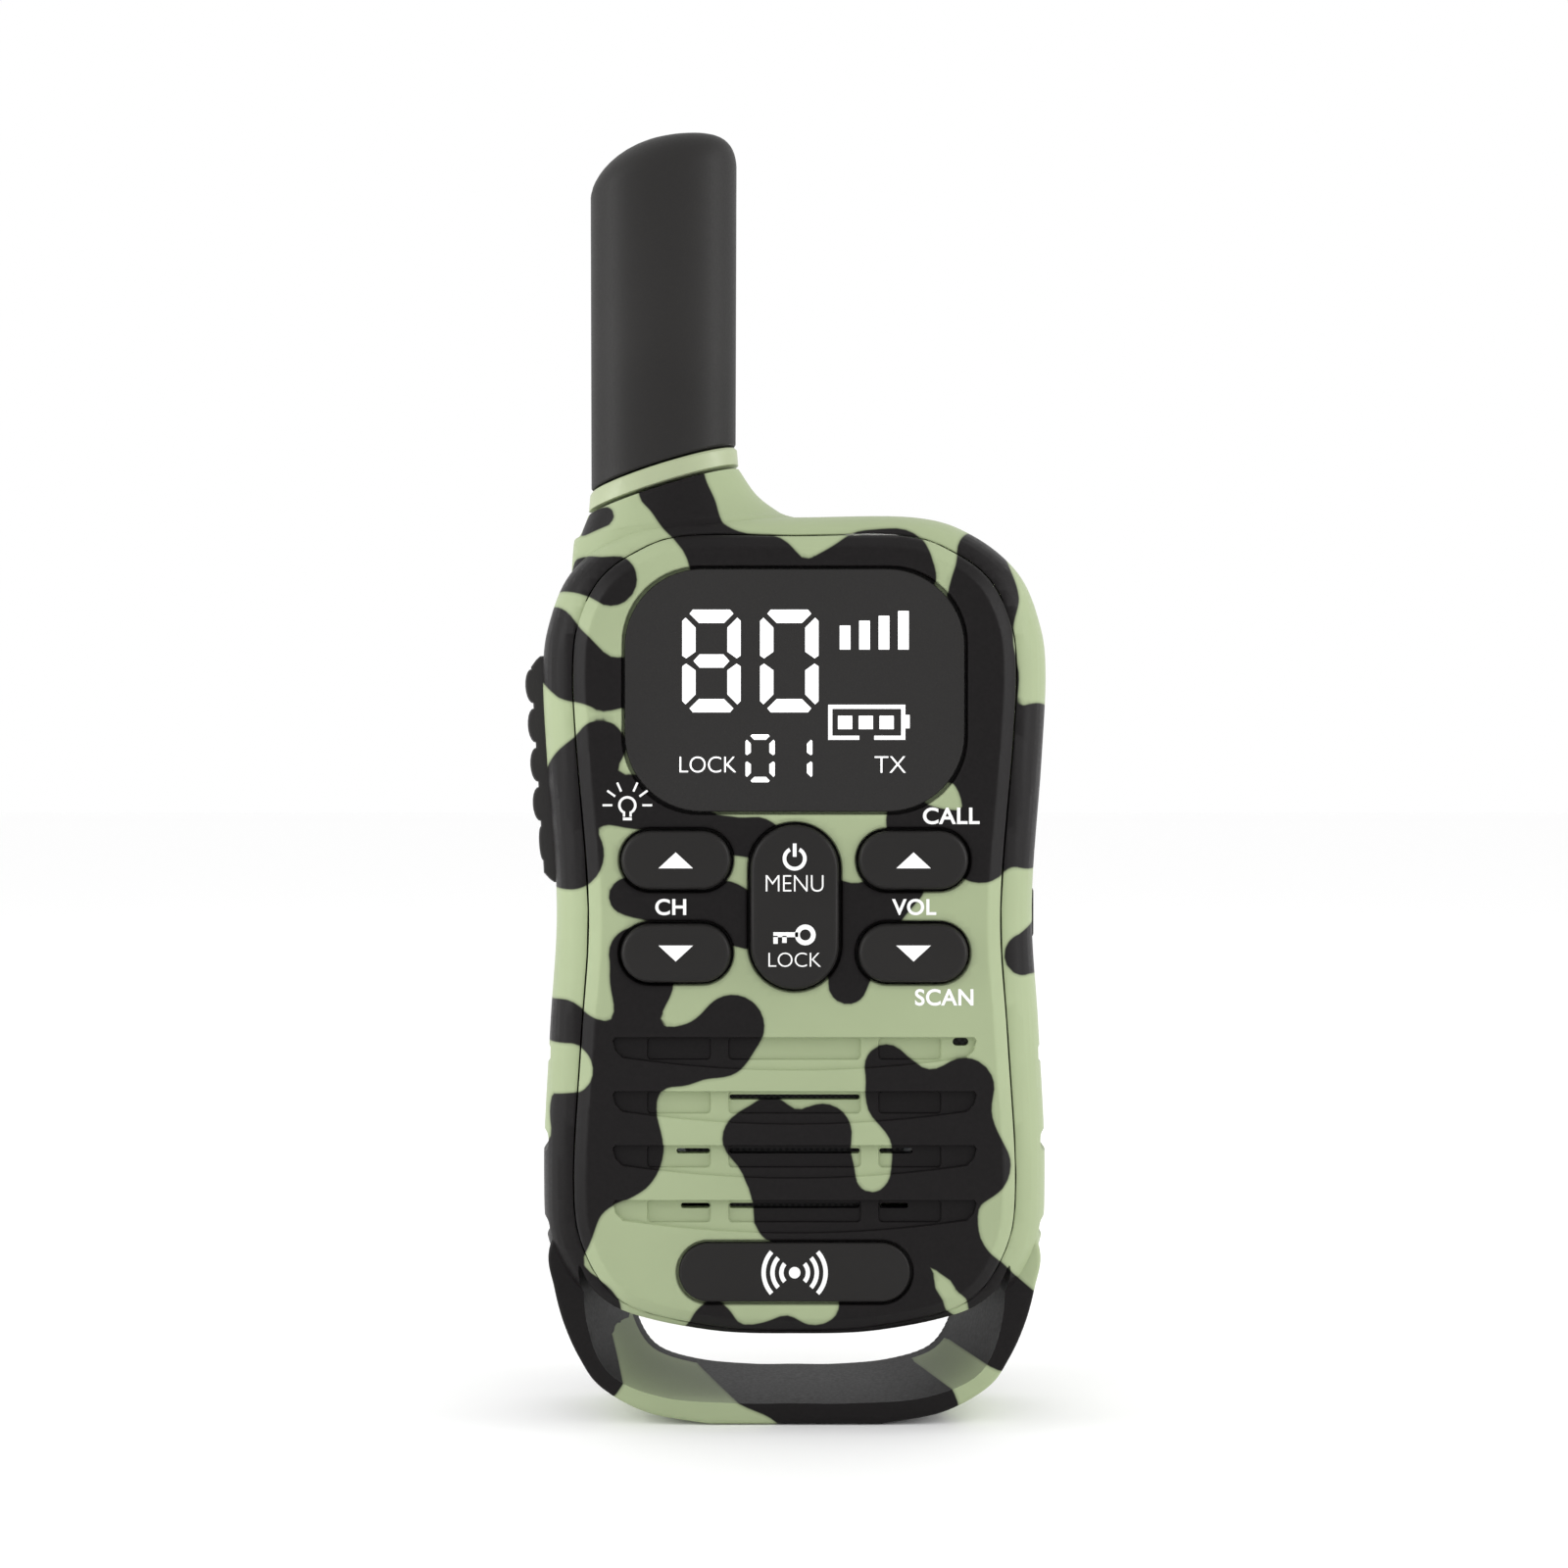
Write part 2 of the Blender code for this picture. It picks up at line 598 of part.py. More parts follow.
def key(name, size, centre, origin, face_y=KEY_FACE_Y):
    """A push key: a flange behind the cover and a crowned cap through it."""
    width, height = size
    cap = rounded(width, height, 9, centre)
    flange = rounded(width + 1.6, height + 1.6, 9, centre)
    stations = [(flange, KEY_FLANGE_Y), (flange, KEY_FLANGE_Y - 0.5), (cap, KEY_FLANGE_Y - 0.5),
                (cap, face_y + 0.7),
                (inset(cap, 0.25), face_y + 0.2), (inset(cap, 0.8), face_y)]
    return depth_loft(name, stations, BLACK_PLASTIC, origin)


def build_front_controls():
    for side, label in ((-1, "ch"), (1, "vol")):
        for z, way in ((KEY_UP_Z, "up"), (KEY_DOWN_Z, "down")):
            centre = (side * KEY_X, z)
            key("key_" + label + "_" + way, KEY_SIZE, centre, (side * KEY_X, FRONT_Y, z))
    key("menu_rocker", ROCKER_SIZE, (0, ROCKER_Z), (0, -9.6, ROCKER_Z))
    lens = plate("display_lens", rounded(*LENS_SIZE, LENS_RADIUS, (0, LENS_Z)), -12.4, -11.3, SMOKED)
    bevel(lens, 0.15, 1)
    badge = plate("nameplate", rounded(*BADGE_SIZE, 9, (0, BADGE_Z)), -12.55, -11.7, BLACK_PLASTIC)
    bevel(badge, 0.2, 1)


# ---------------------------------------------------------------- electronics

def build_display():
    centre = (0, LENS_Z)
    box("lcd_module", (-18.0, -9.9, LENS_Z - 12.2), (18.0, -8.3, LENS_Z + 12.2), LCD_GLASS)
    box("lcd_backlight", (-17.6, -8.0, LENS_Z - 9.4), (17.6, -7.0, LENS_Z + 12.0), WHITE_PLASTIC)
    box("zebra_connector", (-15.0, -8.0, LENS_Z - 11.9), (15.0, BOARD_Y - GAP, LENS_Z - 10.2), SILICONE)
    holder = plate("lcd_holder", rounded(40.2, 28.6, 2.0, centre, 3), -9.9, BOARD_Y - GAP, WHITE_PLASTIC)
    cut(holder, plate("holder_window", rounded(36.8, 25.2, 0.6, centre, 2), -11, BOARD_Y + 1, cutter=True))


def build_board():
    outline = [(-20.0, 50.2), (20.0, 50.2), (20.0, 93.5), (16.0, 98.8), (-16.0, 98.8), (-20.0, 93.5)]
    plate("main_board", outline, BOARD_Y, BOARD_Y + 1.2, BOARD_GREEN)
    back = BOARD_Y + 1.2
    shield = box("rf_shield", (-10, back + GAP, 78), (9, back + 2.6, 94), STEEL)
    cut(shield, box("shield_hollow", (-9.5, back - 1, 78.5), (8.5, back + 2.1, 93.5), cutter=True))
    membrane = plate("keypad_membrane", rounded(40.0, 18.6, 2.0, (0, ROCKER_Z), 2), -8.8, -8.0, SILICONE)
    bevel(membrane, 0.2, 1)
    places = [(side * KEY_X, z) for side in (-1, 1) for z in (KEY_UP_Z, KEY_DOWN_Z)]
    places += [(0, ROCKER_Z + 6.2), (0, ROCKER_Z - 6.2)]
    for number, (x, z) in enumerate(places, 1):
        switch = box("key_switch_%d" % number, (x - 2.2, -7.2, z - 2.2), (x + 2.2, BOARD_Y - GAP, z + 2.2),
                     STEEL)
        join(switch, cylinder("plunger", (x, -7.7, z), (0, 1, 0), 1.1, 1.5, cutter=True, sides=12))


def build_speaker():
    centre = (0, 0, SPEAKER_Z)
    axis = (0, -1, 0)
    turned("speaker_cloth", [(0, 10.0), (SPEAKER_R - 1, 10.0), (SPEAKER_R - 1, 9.7), (0, 9.7)], centre, axis,
           CLOTH)
    ring = SPEAKER_R - 2.2
    turned("speaker_gasket", [(SPEAKER_R, 9.4), (SPEAKER_R, 8.8), (ring, 8.8), (ring, 9.4)], centre, axis,
           SILICONE)
    basket = [(SPEAKER_R, 8.5), (SPEAKER_R, 7.6), (12.6, 7.6), (8.0, 4.6), (8.0, 3.8), (0, 3.8), (0, 4.4),
              (7.2, 4.4),
              (7.2, 5.0), (12.2, 8.5)]
    turned("speaker_frame", basket, centre, axis, STEEL)
    cone = [(0, 7.2), (3.0, 6.4), (3.8, 5.8), (10.8, 8.6), (11.4, 8.6), (11.4, 8.2), (10.8, 8.2), (4.0, 5.3),
            (2.8, 5.9), (0, 6.7)]
    turned("speaker_cone", cone, centre, axis, PAPER)
    turned("speaker_magnet", [(0, 3.5), (6.4, 3.5), (6.4, 1.6), (0, 1.6)], centre, axis, STEEL, 20)
    for side, name, look in ((-1, "speaker_wire_black", BLACK_WIRE), (1, "speaker_wire_red", RED_WIRE)):
        route = [(side * 9.5, -3.9, 42.0), (side * 10.2, -3.1, 45.5), (side * 10.0, -2.6, 49.0),
                 (side * 9.0, -2.6, 52.5),
                 (side * 8.4, -3.0, 55.5), (side * 8.2, -3.3, 57.0)]
        wire(name, smooth(route, 2, closed=False), 0.4, look)


def build_sound_and_light():
    cylinder("microphone", (MIC_X, -8.6, MIC_Z), (0, 1, 0), 2.0, 1.6, STEEL, sides=16)
    boot = [(2.7, 9.9), (2.7, 6.0), (0, 6.0), (0, 6.7), (2.3, 6.7), (2.3, 9.9)]
    turned("microphone_boot", boot, (MIC_X, 0, MIC_Z), (0, -1, 0), BLACK_RUBBER, 16)
    lens = [(0, 104.7), (1.6, 104.5), (2.5, 103.8), (2.8, 102.8), (2.8, 100.4), (0, 100.4)]
    turned("flashlight_lens", lens, (LAMP_X, -0.5, 0), (0, 0, 1), CLEAR, 20)
    led = [(0, 100.0), (1.0, 99.6), (1.5, 98.6), (1.5, 96.6), (1.8, 96.6), (1.8, 95.8), (0, 95.8)]
    turned("flashlight_led", led, (LAMP_X, -0.5, 0), (0, 0, 1), WHITE_PLASTIC, 16)


def build_sides():
    middle_z = (PTT_LOW_Z + PTT_HIGH_Z) / 2
    half = (PTT_HIGH_Z - PTT_LOW_Z) / 2
    face = 29.65
    bumps = []
    bump_pitch = 4.6
    steps = 5
    for number in range(5):
        centre_z = middle_z + (2 - number) * bump_pitch + 0.6
        reach = 1.2 if number < 4 else 0.5
        for k in range(steps + 1):
            angle = math.pi * k / steps
            bumps.append((-(face + reach * math.sin(angle)), centre_z + 2.0 * math.cos(angle)))
    outline = [(-26.0, middle_z + half), (-28.9, middle_z + half), (-face, middle_z + half - 1.2), *bumps,
               (-face, middle_z - half + 1.2), (-28.9, middle_z - half), (-26.0, middle_z - half)]
    low_y, high_y = PTT_Y
    button = plate("ptt_button", outline, low_y, high_y, BLACK_RUBBER, (-28.6, 1.0, middle_z),
                   turn=ptt_turn())
    flange = box("ptt_flange", (-26.4, low_y - 0.5, middle_z - half - 0.5),
                 (-25.5, high_y + 0.5, middle_z + half + 0.5),
                 cutter=True, turn=ptt_turn())
    join(button, flange)
    switch = box("ptt_switch", (-23.6, -2.0, 73.0), (-21.0, 4.0, 78.0), STEEL)
    join(switch, cylinder("ptt_plunger", (-24.1, 1.0, 75.5), (1, 0, 0), 1.2, 1.5, cutter=True, sides=12))
    jack = box("charge_jack", (20.6, -2.4, JACK_Z[0] - 0.6), (25.4, 2.2, JACK_Z[1] + 0.6), STEEL)
    cut(jack, box("jack_mouth", (21.4, -1.1, JACK_Z[0] + 0.9), (27, 1.1, JACK_Z[1] - 0.9), cutter=True))
    cover = box("jack_cover", (27.3, JACK_Y[0], JACK_Z[0]), (28.5, JACK_Y[1], JACK_Z[1]), BLACK_RUBBER,
                (28.6, JACK_Y[1] + 0.15, (JACK_Z[0] + JACK_Z[1]) / 2))
    bevel(cover, 0.3, 1)


# ---------------------------------------------------------------- battery box and back

def build_battery():
    for number, x in enumerate(CELL_XS, 1):
        low = CELL_LOW_Z
        high = CELL_LOW_Z + CELL_LENGTH
        cell = [(0, high), (2.6, high), (2.6, high - 1.2), (4.4, high - 1.2), (CELL_R, high - 1.8),
                (CELL_R, low + 0.6),
                (4.6, low), (0, low)]
        turned("battery_cell_%d" % number, cell, (x, CELL_Y, 0), (0, 0, 1), CELL_WRAP, 20)
        coil = helix((x, CELL_Y, 0), (0, 0, 1), 2.6, BOX_Z[0] + 0.7, low - 0.7, 2.5, 8)
        wire("contact_spring_%d" % number, coil, 0.35, STEEL)
        box("contact_plate_%d" % number, (x - 4, CELL_Y - 4, high + GAP),
            (x + 4, CELL_Y + 4, high + GAP + 0.6), STEEL)


def build_door():
    hinge_y, hinge_z = DOOR_HINGE
    inner = BACK_Y - 1.2
    door = box("battery_door", (-DOOR_X, inner, DOOR_LOW_Z), (DOOR_X, BACK_Y, hinge_z), GREEN,
               (0, hinge_y, hinge_z))
    join(door, cylinder("door_knuckle", (-DOOR_X, hinge_y, hinge_z), (1, 0, 0), 1.1, 2 * DOOR_X, cutter=True,
                        sides=16))
    pivot_y, pivot_z = CLIP_PIVOT
    for side in (-1, 1):
        middle = side * 6.9
        ear = cylinder("ear", (middle - 0.8, pivot_y, pivot_z), (1, 0, 0), 2.2, 1.6, cutter=True, sides=20)
        root = box("ear_root", (middle - 0.8, BACK_Y - 0.5, pivot_z - 3.2),
                   (middle + 0.8, pivot_y, pivot_z + 2.6),
                   cutter=True)
        join(door, ear, root)
    cut(door, cylinder("pin_hole", (-10, pivot_y, pivot_z), (1, 0, 0), 1.0 + GAP, 20, cutter=True, sides=16))
    cut(door, box("latch_notch", (-5, BACK_Y - 0.5, DOOR_LOW_Z - 1), (5, BACK_Y + 1, DOOR_LOW_Z + 1.2),
                  cutter=True))


def build_clip():
    pivot_y, pivot_z = CLIP_PIVOT
    centre = [(16.8, 67.6), (17.3, 63.0), (18.0, 56.0), (18.3, 44.0), (17.9, 32.0), (15.9, 25.8),
              (14.0, 23.0),
              (14.4, 20.8), (16.2, 18.8)]
    spine = smooth(centre, 3, closed=False)
    half = 0.9
    left = []
    right = []
    for i, (y, z) in enumerate(spine):
        before = Vector(spine[max(i - 1, 0)])
        after = Vector(spine[min(i + 1, len(spine) - 1)])
        along = (after - before).normalized()
        left.append((y - along.y * half, z + along.x * half))
        right.append((y + along.y * half, z - along.x * half))
    outline = left + right[::-1]
    quarter = Matrix.Rotation(-math.pi / 2, 4, "Z")
    clip = plate("belt_clip", [(-y, z) for y, z in outline], -7.0, 7.0, BLACK_PLASTIC, (0, pivot_y, pivot_z),
                 turn=quarter)
    cut(clip, *(box("ear_relief", (side * 6.9 - 1.3, 12, pivot_z - 3.6),
                    (side * 6.9 + 1.3, 22, pivot_z + 3.6), cutter=True)
                for side in (-1, 1)))
    lug = box("clip_lug", (-5.4, pivot_y, pivot_z - 1.85), (1.4, 18.0, pivot_z + 1.85), cutter=True)
    barrel = cylinder("clip_barrel", (-5.4, pivot_y, pivot_z), (1, 0, 0), 1.9, 6.8, cutter=True, sides=20)
    join(clip, lug, barrel)
    cut(clip, cylinder("lug_hole", (-8, pivot_y, pivot_z), (1, 0, 0), 1.0 + GAP, 16, cutter=True, sides=16))
    cylinder("clip_pin", (-7.9, pivot_y, pivot_z), (1, 0, 0), 1.0, 15.8, STEEL, sides=16)
    wire("clip_spring", helix((0, pivot_y, pivot_z), (1, 0, 0), 1.45, 2.0, 5.5, 3, 8), 0.22, STEEL)


def build_screws():
    number = 0
    for x in (-SCREW_X, SCREW_X):
        for z in SCREW_ZS:
            number += 1
            screw = [(0, 10.9), (SCREW_R, 10.9), (SCREW_R, -6.3), (1.6, -6.3), (1.6, -7.6), (0, -7.6)]
            turned("case_screw_%d" % number, screw, (x, 0, z), (0, -1, 0), STEEL, 12)


def main():
    build_rear_shell()
    build_front_cover()
    build_antenna()
    build_front_controls()
    build_display()
    build_board()
    build_speaker()
    build_sound_and_light()
    build_sides()
    build_battery()
    build_door()
    build_clip()
    build_screws()


main()
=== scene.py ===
"""The looks of the toy walkie talkie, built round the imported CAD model.

Shapes are worked out in millimetres in the model's own frame (+Z up, -Y the front, +X right) and
turned into metres when a piece is finished. The housing pieces are rebuilt as fine meshes on the CAD
outlines, the small pieces as rounded meshes, and the pieces inside keep their CAD solids.
"""
import math

import bmesh
import bpy
import numpy as np
from mathutils import Matrix, Vector, noise


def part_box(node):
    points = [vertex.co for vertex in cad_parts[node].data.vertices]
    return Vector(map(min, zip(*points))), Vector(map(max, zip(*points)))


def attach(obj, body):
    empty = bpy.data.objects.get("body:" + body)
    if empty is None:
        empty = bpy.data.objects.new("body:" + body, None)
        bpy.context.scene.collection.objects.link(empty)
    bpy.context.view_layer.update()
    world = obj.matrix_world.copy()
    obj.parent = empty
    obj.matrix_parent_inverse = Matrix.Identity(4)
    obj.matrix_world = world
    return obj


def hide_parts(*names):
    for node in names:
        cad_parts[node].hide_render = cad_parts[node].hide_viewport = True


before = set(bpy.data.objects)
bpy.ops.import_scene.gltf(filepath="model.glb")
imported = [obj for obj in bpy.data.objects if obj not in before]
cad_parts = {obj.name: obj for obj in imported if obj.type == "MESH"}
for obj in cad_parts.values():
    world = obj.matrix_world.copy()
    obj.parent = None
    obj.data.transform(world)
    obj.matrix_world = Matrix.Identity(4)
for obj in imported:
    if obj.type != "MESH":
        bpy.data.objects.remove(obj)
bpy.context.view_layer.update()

MM = 0.001
GAP = 0.3


def box_mm(node):
    """A CAD node's lowest and highest corner, in millimetres."""
    low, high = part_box(node)
    return low / MM, high / MM


SHELL_LOW, SHELL_HIGH = box_mm("rear_shell")
FRONT_Y = box_mm("front_cover")[0].y
SEAM_Y = SHELL_LOW.y
DOOR_INNER_Y = box_mm("battery_door")[0].y
BACK_Y = SHELL_HIGH.y
WALL = 1.8

# Front view half outlines, from the top centre down the right side to the bottom centre
SEAM_HALF = [(0, 102.2), (12.5, 102.2), (18.4, 100.2), (22.5, 97.0), (24.9, 92.0), (25.5, 86.5), (25.1, 78.0),
             (23.7, 59.5), (24.5, 45.0), (25.4, 29.0), (24.3, 20.8), (19.6, 14.5), (9.5, 11.8), (0, 11.3)]
WIDE_HALF = [(0, 104.8), (13.9, 104.8), (20.8, 102.7), (26.2, 98.2), (28.7, 92.3), (29.4, 86.5), (28.9, 76.0),
             (27.8, 59.5), (28.6, 45.0), (29.3, 29.0), (28.3, 19.5), (22.5, 13.2), (10.5, 10.6), (0, 10.2)]
LOOP_HALF = [(26.0, 26.0), (28.3, 20.0), (27.7, 15.7), (26.6, 11.6), (24.8, 7.6), (22.3, 4.2), (17.0, 1.3),
             (10.0, 0)]
GAP_FRONT_HALF = [(0, 11.0), (9.5, 11.3), (18.5, 13.2), (22.6, 15.6), (24.4, 18.4), (24.3, 12.0), (21.8, 6.0),
                  (15.5, 3.1), (7.0, 2.4), (0, 2.4)]
GAP_BACK_HALF = [(0, 11.0), (8.5, 11.2), (14.0, 12.0), (17.6, 12.6), (19.3, 12.4), (19.0, 9.0), (16.6, 5.4),
                 (11.5, 3.7), (5.0, 3.1), (0, 3.1)]
LOOP_FRONT_Y = -7.4
LOOP_BACK_Y = 9.4

ANTENNA_X = -15.4
ANTENNA_RX = 8.6
ANTENNA_RY = 7.5
ANTENNA_TILT = math.tan(math.radians(17.4))
COLLAR_Z = 108.1
COLLAR_HEIGHT = 2.5
ANTENNA_TOP = 150.0

LENS_SIZE = (38.5, 27.5)
LENS_RADIUS = 8.8
LENS_Z = 84.3
KEY_SIZE = (12.4, 6.6)
KEY_X = 13.4
KEY_ROWS = {"up": 65.1, "down": 54.6}
KEY_COLUMNS = [(-1, "ch", "channel"), (1, "vol", "volume")]
ROCKER_SIZE = (10.0, 18.6)
ROCKER_Z = 59.8
BADGE_SIZE = (26.2, 6.7)
BADGE_Z = 18.5
KEY_FACE_Y = -13.3
KEY_FLANGE_Y = -9.4
SCREEN_FACE_Y = -12.4
BADGE_FACE_Y = -12.55
GRILLE_TOPS = [45.1, 39.0, 32.9, 26.7]
GRILLE_HALF_WIDTH = 20.6
GRILLE_DEPTH = 0.8
POCKETS = [(-16.6, -9.6), (-7.4, 7.4), (9.6, 16.5)]
SLOT_ROWS = {1: [(-7.4, 7.4)], 2: [(-13.4, -9.6), (-7.4, 7.4), (9.6, 13.4)],
             3: [(-12.9, -9.6), (-7.4, 7.4), (9.6, 12.9)]}
MIC = (18.8, 44.5)
PTT_Z = (62.2, 88.7)
PTT_Y = (-3.2, 5.2)
PTT_FACE_X = 30.05
PTT_TILT = -3.6           # degrees, along with the side wall
GRIP_Z = [42.5, 32.5, 22.5]
JACK_Z = (55.8, 61.6)
JACK_Y = (-2.7, 3.0)
LAMP_X = 9.0
LAMP_Y = -0.5
DOOR_X = 18.4
DOOR_HINGE = (11.4, 70.6)
DOOR_LOW_Z = 15.0
CLIP_PIVOT = (14.7, 59.5)
EAR_X = 6.9               # the door's two ears for the clip's pin stand this far out
EAR_HALF = 0.8
PIN_HOLE_RADIUS = 1.3
SCREW_PLACES = [(x, z) for x in (-22.9, 22.9) for z in (30.0, 92.5)]

# The camouflage is two-tone: each chain is a run of round blobs, (x, z, radius) on the front view.
BLACK_CHAINS = {
    "antenna_root": [(-14, 108, 4), (-12.3, 105, 3.1), (-10.6, 102, 2.4), (-7.5, 98.3, 4), (-3.5, 98, 3.7),
                     (-1, 95, 4)],
    "shoulder_chip": [(-24.5, 104, 1.4), (-22, 104.6, 1.2)],
    "over_screen": [(1.2, 95, 3.4), (5, 96.3, 3.7), (8.5, 98.4, 3.9), (11.5, 98.9, 3.6), (13, 97, 3)],
    "right_shoulder": [(21.5, 100, 3), (21.5, 95, 3.8), (21, 91, 3.4), (21.3, 86, 3.9), (21.5, 80, 4)],
    "right_flank": [(28, 79, 4), (24, 75, 5), (27, 70, 5), (27, 68.5, 4.5)],
    "under_screen": [(20, 75, 3.5), (19, 69, 4.5), (13.5, 69.5, 2.8), (21, 66.5, 4)],
    "screen_corner": [(-27, 97.6, 1.7), (-24.5, 97.8, 1.9), (-20.8, 96.8, 3)],
    "talk_band": [(-28.5, 90, 4.2), (-25, 86.8, 3.4), (-21.5, 84.9, 2.5), (-17, 85.5, 3.2)],
    "talk_blob": [(-22, 78, 2.9), (-24.5, 74.5, 3.6), (-28, 70, 4.5), (-25.7, 65.8, 3.8), (-30, 66, 4.1)],
    "bulb_band": [(-26, 72, 2.8), (-18, 71.7, 2.7), (-12, 69.3, 1.9), (-7, 67.8, 1.8), (-4.2, 67.6, 2.0),
                  (-1.5, 66.2, 2.2)],
    "between_left_keys": [(-18.9, 61, 2.1), (-14, 60, 2.3), (-8, 59.2, 3.2), (-5, 58, 3)],
    "between_right_keys": [(5, 60, 2.8), (8, 58.5, 3.2), (12, 62.5, 2.8)],
    "rocker_tail": [(8, 58, 3), (6.5, 54, 2.6), (6, 51, 2.2)],
    "left_key_tail": [(-18, 54.5, 3), (-17.3, 51, 3.2), (-17.8, 47.5, 2.2), (-18, 43.5, 3)],
    "left_grip": [(-31, 46.3, 2.4), (-26.5, 46, 2.7), (-22.5, 43.5, 3.1), (-18, 42.5, 3.6), (-13, 42.9, 3),
                  (-8.5, 44.3, 3.4), (-7, 46.3, 3.6)],
    "left_side": [(-20, 41, 5), (-22, 36, 5.8), (-21, 32.5, 5.8), (-25.5, 28.5, 4.5), (-28, 24, 5),
                  (-29.5, 19, 4.6), (-27, 14.5, 4.3), (-23.5, 13.8, 3.7)],
    "left_loop": [(-26, 13, 5), (-24, 9.5, 3.8), (-23.7, 6.5, 4), (-27, 3, 5)],
    "grille_left": [(-2.8, 35.4, 2.8), (-5, 33.6, 2.8), (-1.5, 29.5, 3.6), (0, 26, 5)],
    "grille_middle": [(-2, 33, 3), (3.2, 34.2, 2.9), (2.4, 29, 4.2), (2.4, 25, 4.5), (9, 23.6, 3.4),
                      (15, 24.5, 5.2)],
    "grille_right": [(10.4, 41.7, 2.5), (12, 38.5, 3.7), (15, 36, 4.4), (17, 31, 5.5), (15, 26, 5)],
    "grille_ear": [(14, 37, 3), (19.2, 39.4, 3), (18, 35, 4), (20.8, 30.5, 3.7)],
    "badge_right": [(15, 24, 5.2), (16.5, 20, 4.6), (20, 15.5, 4.8), (25, 11, 5)],
    "badge_low": [(-11, 10.5, 1.9), (-9.2, 12.8, 2), (-6.5, 10, 1.8), (-1, 11.7, 1.6), (2.5, 9.8, 1.8),
                  (8.8, 12.5, 3.4), (9, 16, 3.6), (14, 14, 5), (20, 13, 4)],
    "loop_left": [(-9.5, 9.6, 2.7), (-4, 6.4, 4.3), (3, 3.5, 5.3), (13, 1, 6)],
    "loop_right": [(-3, 8, 4), (8, 6.5, 4.8)],
    "right_waist": [(26.3, 54.2, 2.4), (30, 55.2, 3.6)],
}
GREEN_CHAINS = {
    "left_oval": [(-32, 40.8, 3.2), (-25.6, 41.3, 2.8)],
    "screen_wedge": [(15.4, 72.2, 0.8), (17, 72.4, 1.2), (18.4, 71.3, 0.5)],
    "leaf": [(15.4, 19.2, 0.1), (16.9, 16.9, 0.6), (18.3, 14.7, 0.9), (19.6, 12.6, 0.7)],
}
BLOB_BLEND = 1.5          # how softly neighbouring blobs run together
FRONT_PRINT_Y = -3.0      # the front print ends here and runs into the back's own pattern
BACK_PRINT_Y = 4.0
BACK_BLOB = 13.0          # size of the back's blobs
FIELD_LIMIT = 3.0
LOOP_TOP_Z = 9.5          # below this the front print runs right through the lanyard loop
LOOP_BLEND = 5.0
LOOP_SHADE_LIP_Y = 7.6          # behind this the loop's back lip is painted black, a painted shade along its inner rear edge
LOOP_SLANT = 0.27         # the loop's print leans to the left towards the back


# ---- materials

def new_material(name):
    made = bpy.data.materials.new(name)
    made.use_nodes = True
    nodes = made.node_tree.nodes
    return made, nodes, made.node_tree.links, nodes["Principled BSDF"]


def grain(nodes, links, scale, detail=3.0):
    """A noise texture in the object's own metres, with scale in grains for each millimetre."""
    place = nodes.new("ShaderNodeTexCoord")
    texture = nodes.new("ShaderNodeTexNoise")
    texture.inputs["Scale"].default_value = scale / MM
    texture.inputs["Detail"].default_value = detail
    links.new(place.outputs["Object"], texture.inputs["Vector"])
    return texture


def ranged(nodes, links, source, low, high):
    """A texture's value mapped from its usual spread to a low and a high value."""
    step = nodes.new("ShaderNodeMapRange")
    step.inputs["From Min"].default_value = 0.3
    step.inputs["From Max"].default_value = 0.7
    step.inputs["To Min"].default_value = low
    step.inputs["To Max"].default_value = high
    links.new(source, step.inputs["Value"])
    return step.outputs["Result"]


def mixed(nodes, links, factor, first, second):
    """A colour mixed from two; each is a colour or a socket."""
    step = nodes.new("ShaderNodeMix")
    step.data_type = "RGBA"
    links.new(factor, step.inputs["Factor"])
    for socket, value in ((step.inputs[6], first), (step.inputs[7], second)):
        if isinstance(value, tuple):
            socket.default_value = (*value, 1.0)
        else:
            links.new(value, socket)
    return step.outputs[2]


def bumped(nodes, links, shader, source, strength, depth):
    step = nodes.new("ShaderNodeBump")
    step.inputs["Strength"].default_value = strength
    step.inputs["Distance"].default_value = depth * MM
    links.new(source, step.inputs["Height"])
    links.new(step.outputs["Normal"], shader.inputs["Normal"])


def shade(colour, factor):
    return tuple(min(1.0, part * factor) for part in colour)


def moulded(name, colour, roughness, grain_scale=3.0, bump=0.25, depth=0.03, spread=0.08, metallic=0.0,
            **sockets):
    """Plastic, rubber or metal: slow colour drift, fine grain in the roughness and the surface."""
    made, nodes, links, shader = new_material(name)
    drift = grain(nodes, links, 0.06)
    fine = grain(nodes, links, grain_scale, 4.0)
    tint = mixed(nodes, links, ranged(nodes, links, drift.outputs["Fac"], 0, 1), shade(colour, 1 - spread),
                 shade(colour, 1 + spread))
    links.new(tint, shader.inputs["Base Color"])
    links.new(ranged(nodes, links, fine.outputs["Fac"], roughness - 0.05, roughness + 0.05),
              shader.inputs["Roughness"])
    bumped(nodes, links, shader, fine.outputs["Fac"], bump, depth)
    shader.inputs["Metallic"].default_value = metallic
    for socket, value in sockets.items():
        shader.inputs[socket.replace("_", " ")].default_value = value
    made.diffuse_color = (*colour, 1.0)
    return made


CAMO_GREEN = (0.335, 0.393, 0.236)
CAMO_BLACK = (0.0088, 0.0078, 0.0080)
EDGE_WIDTH = 0.10
RIM_WIDTH = 0.35


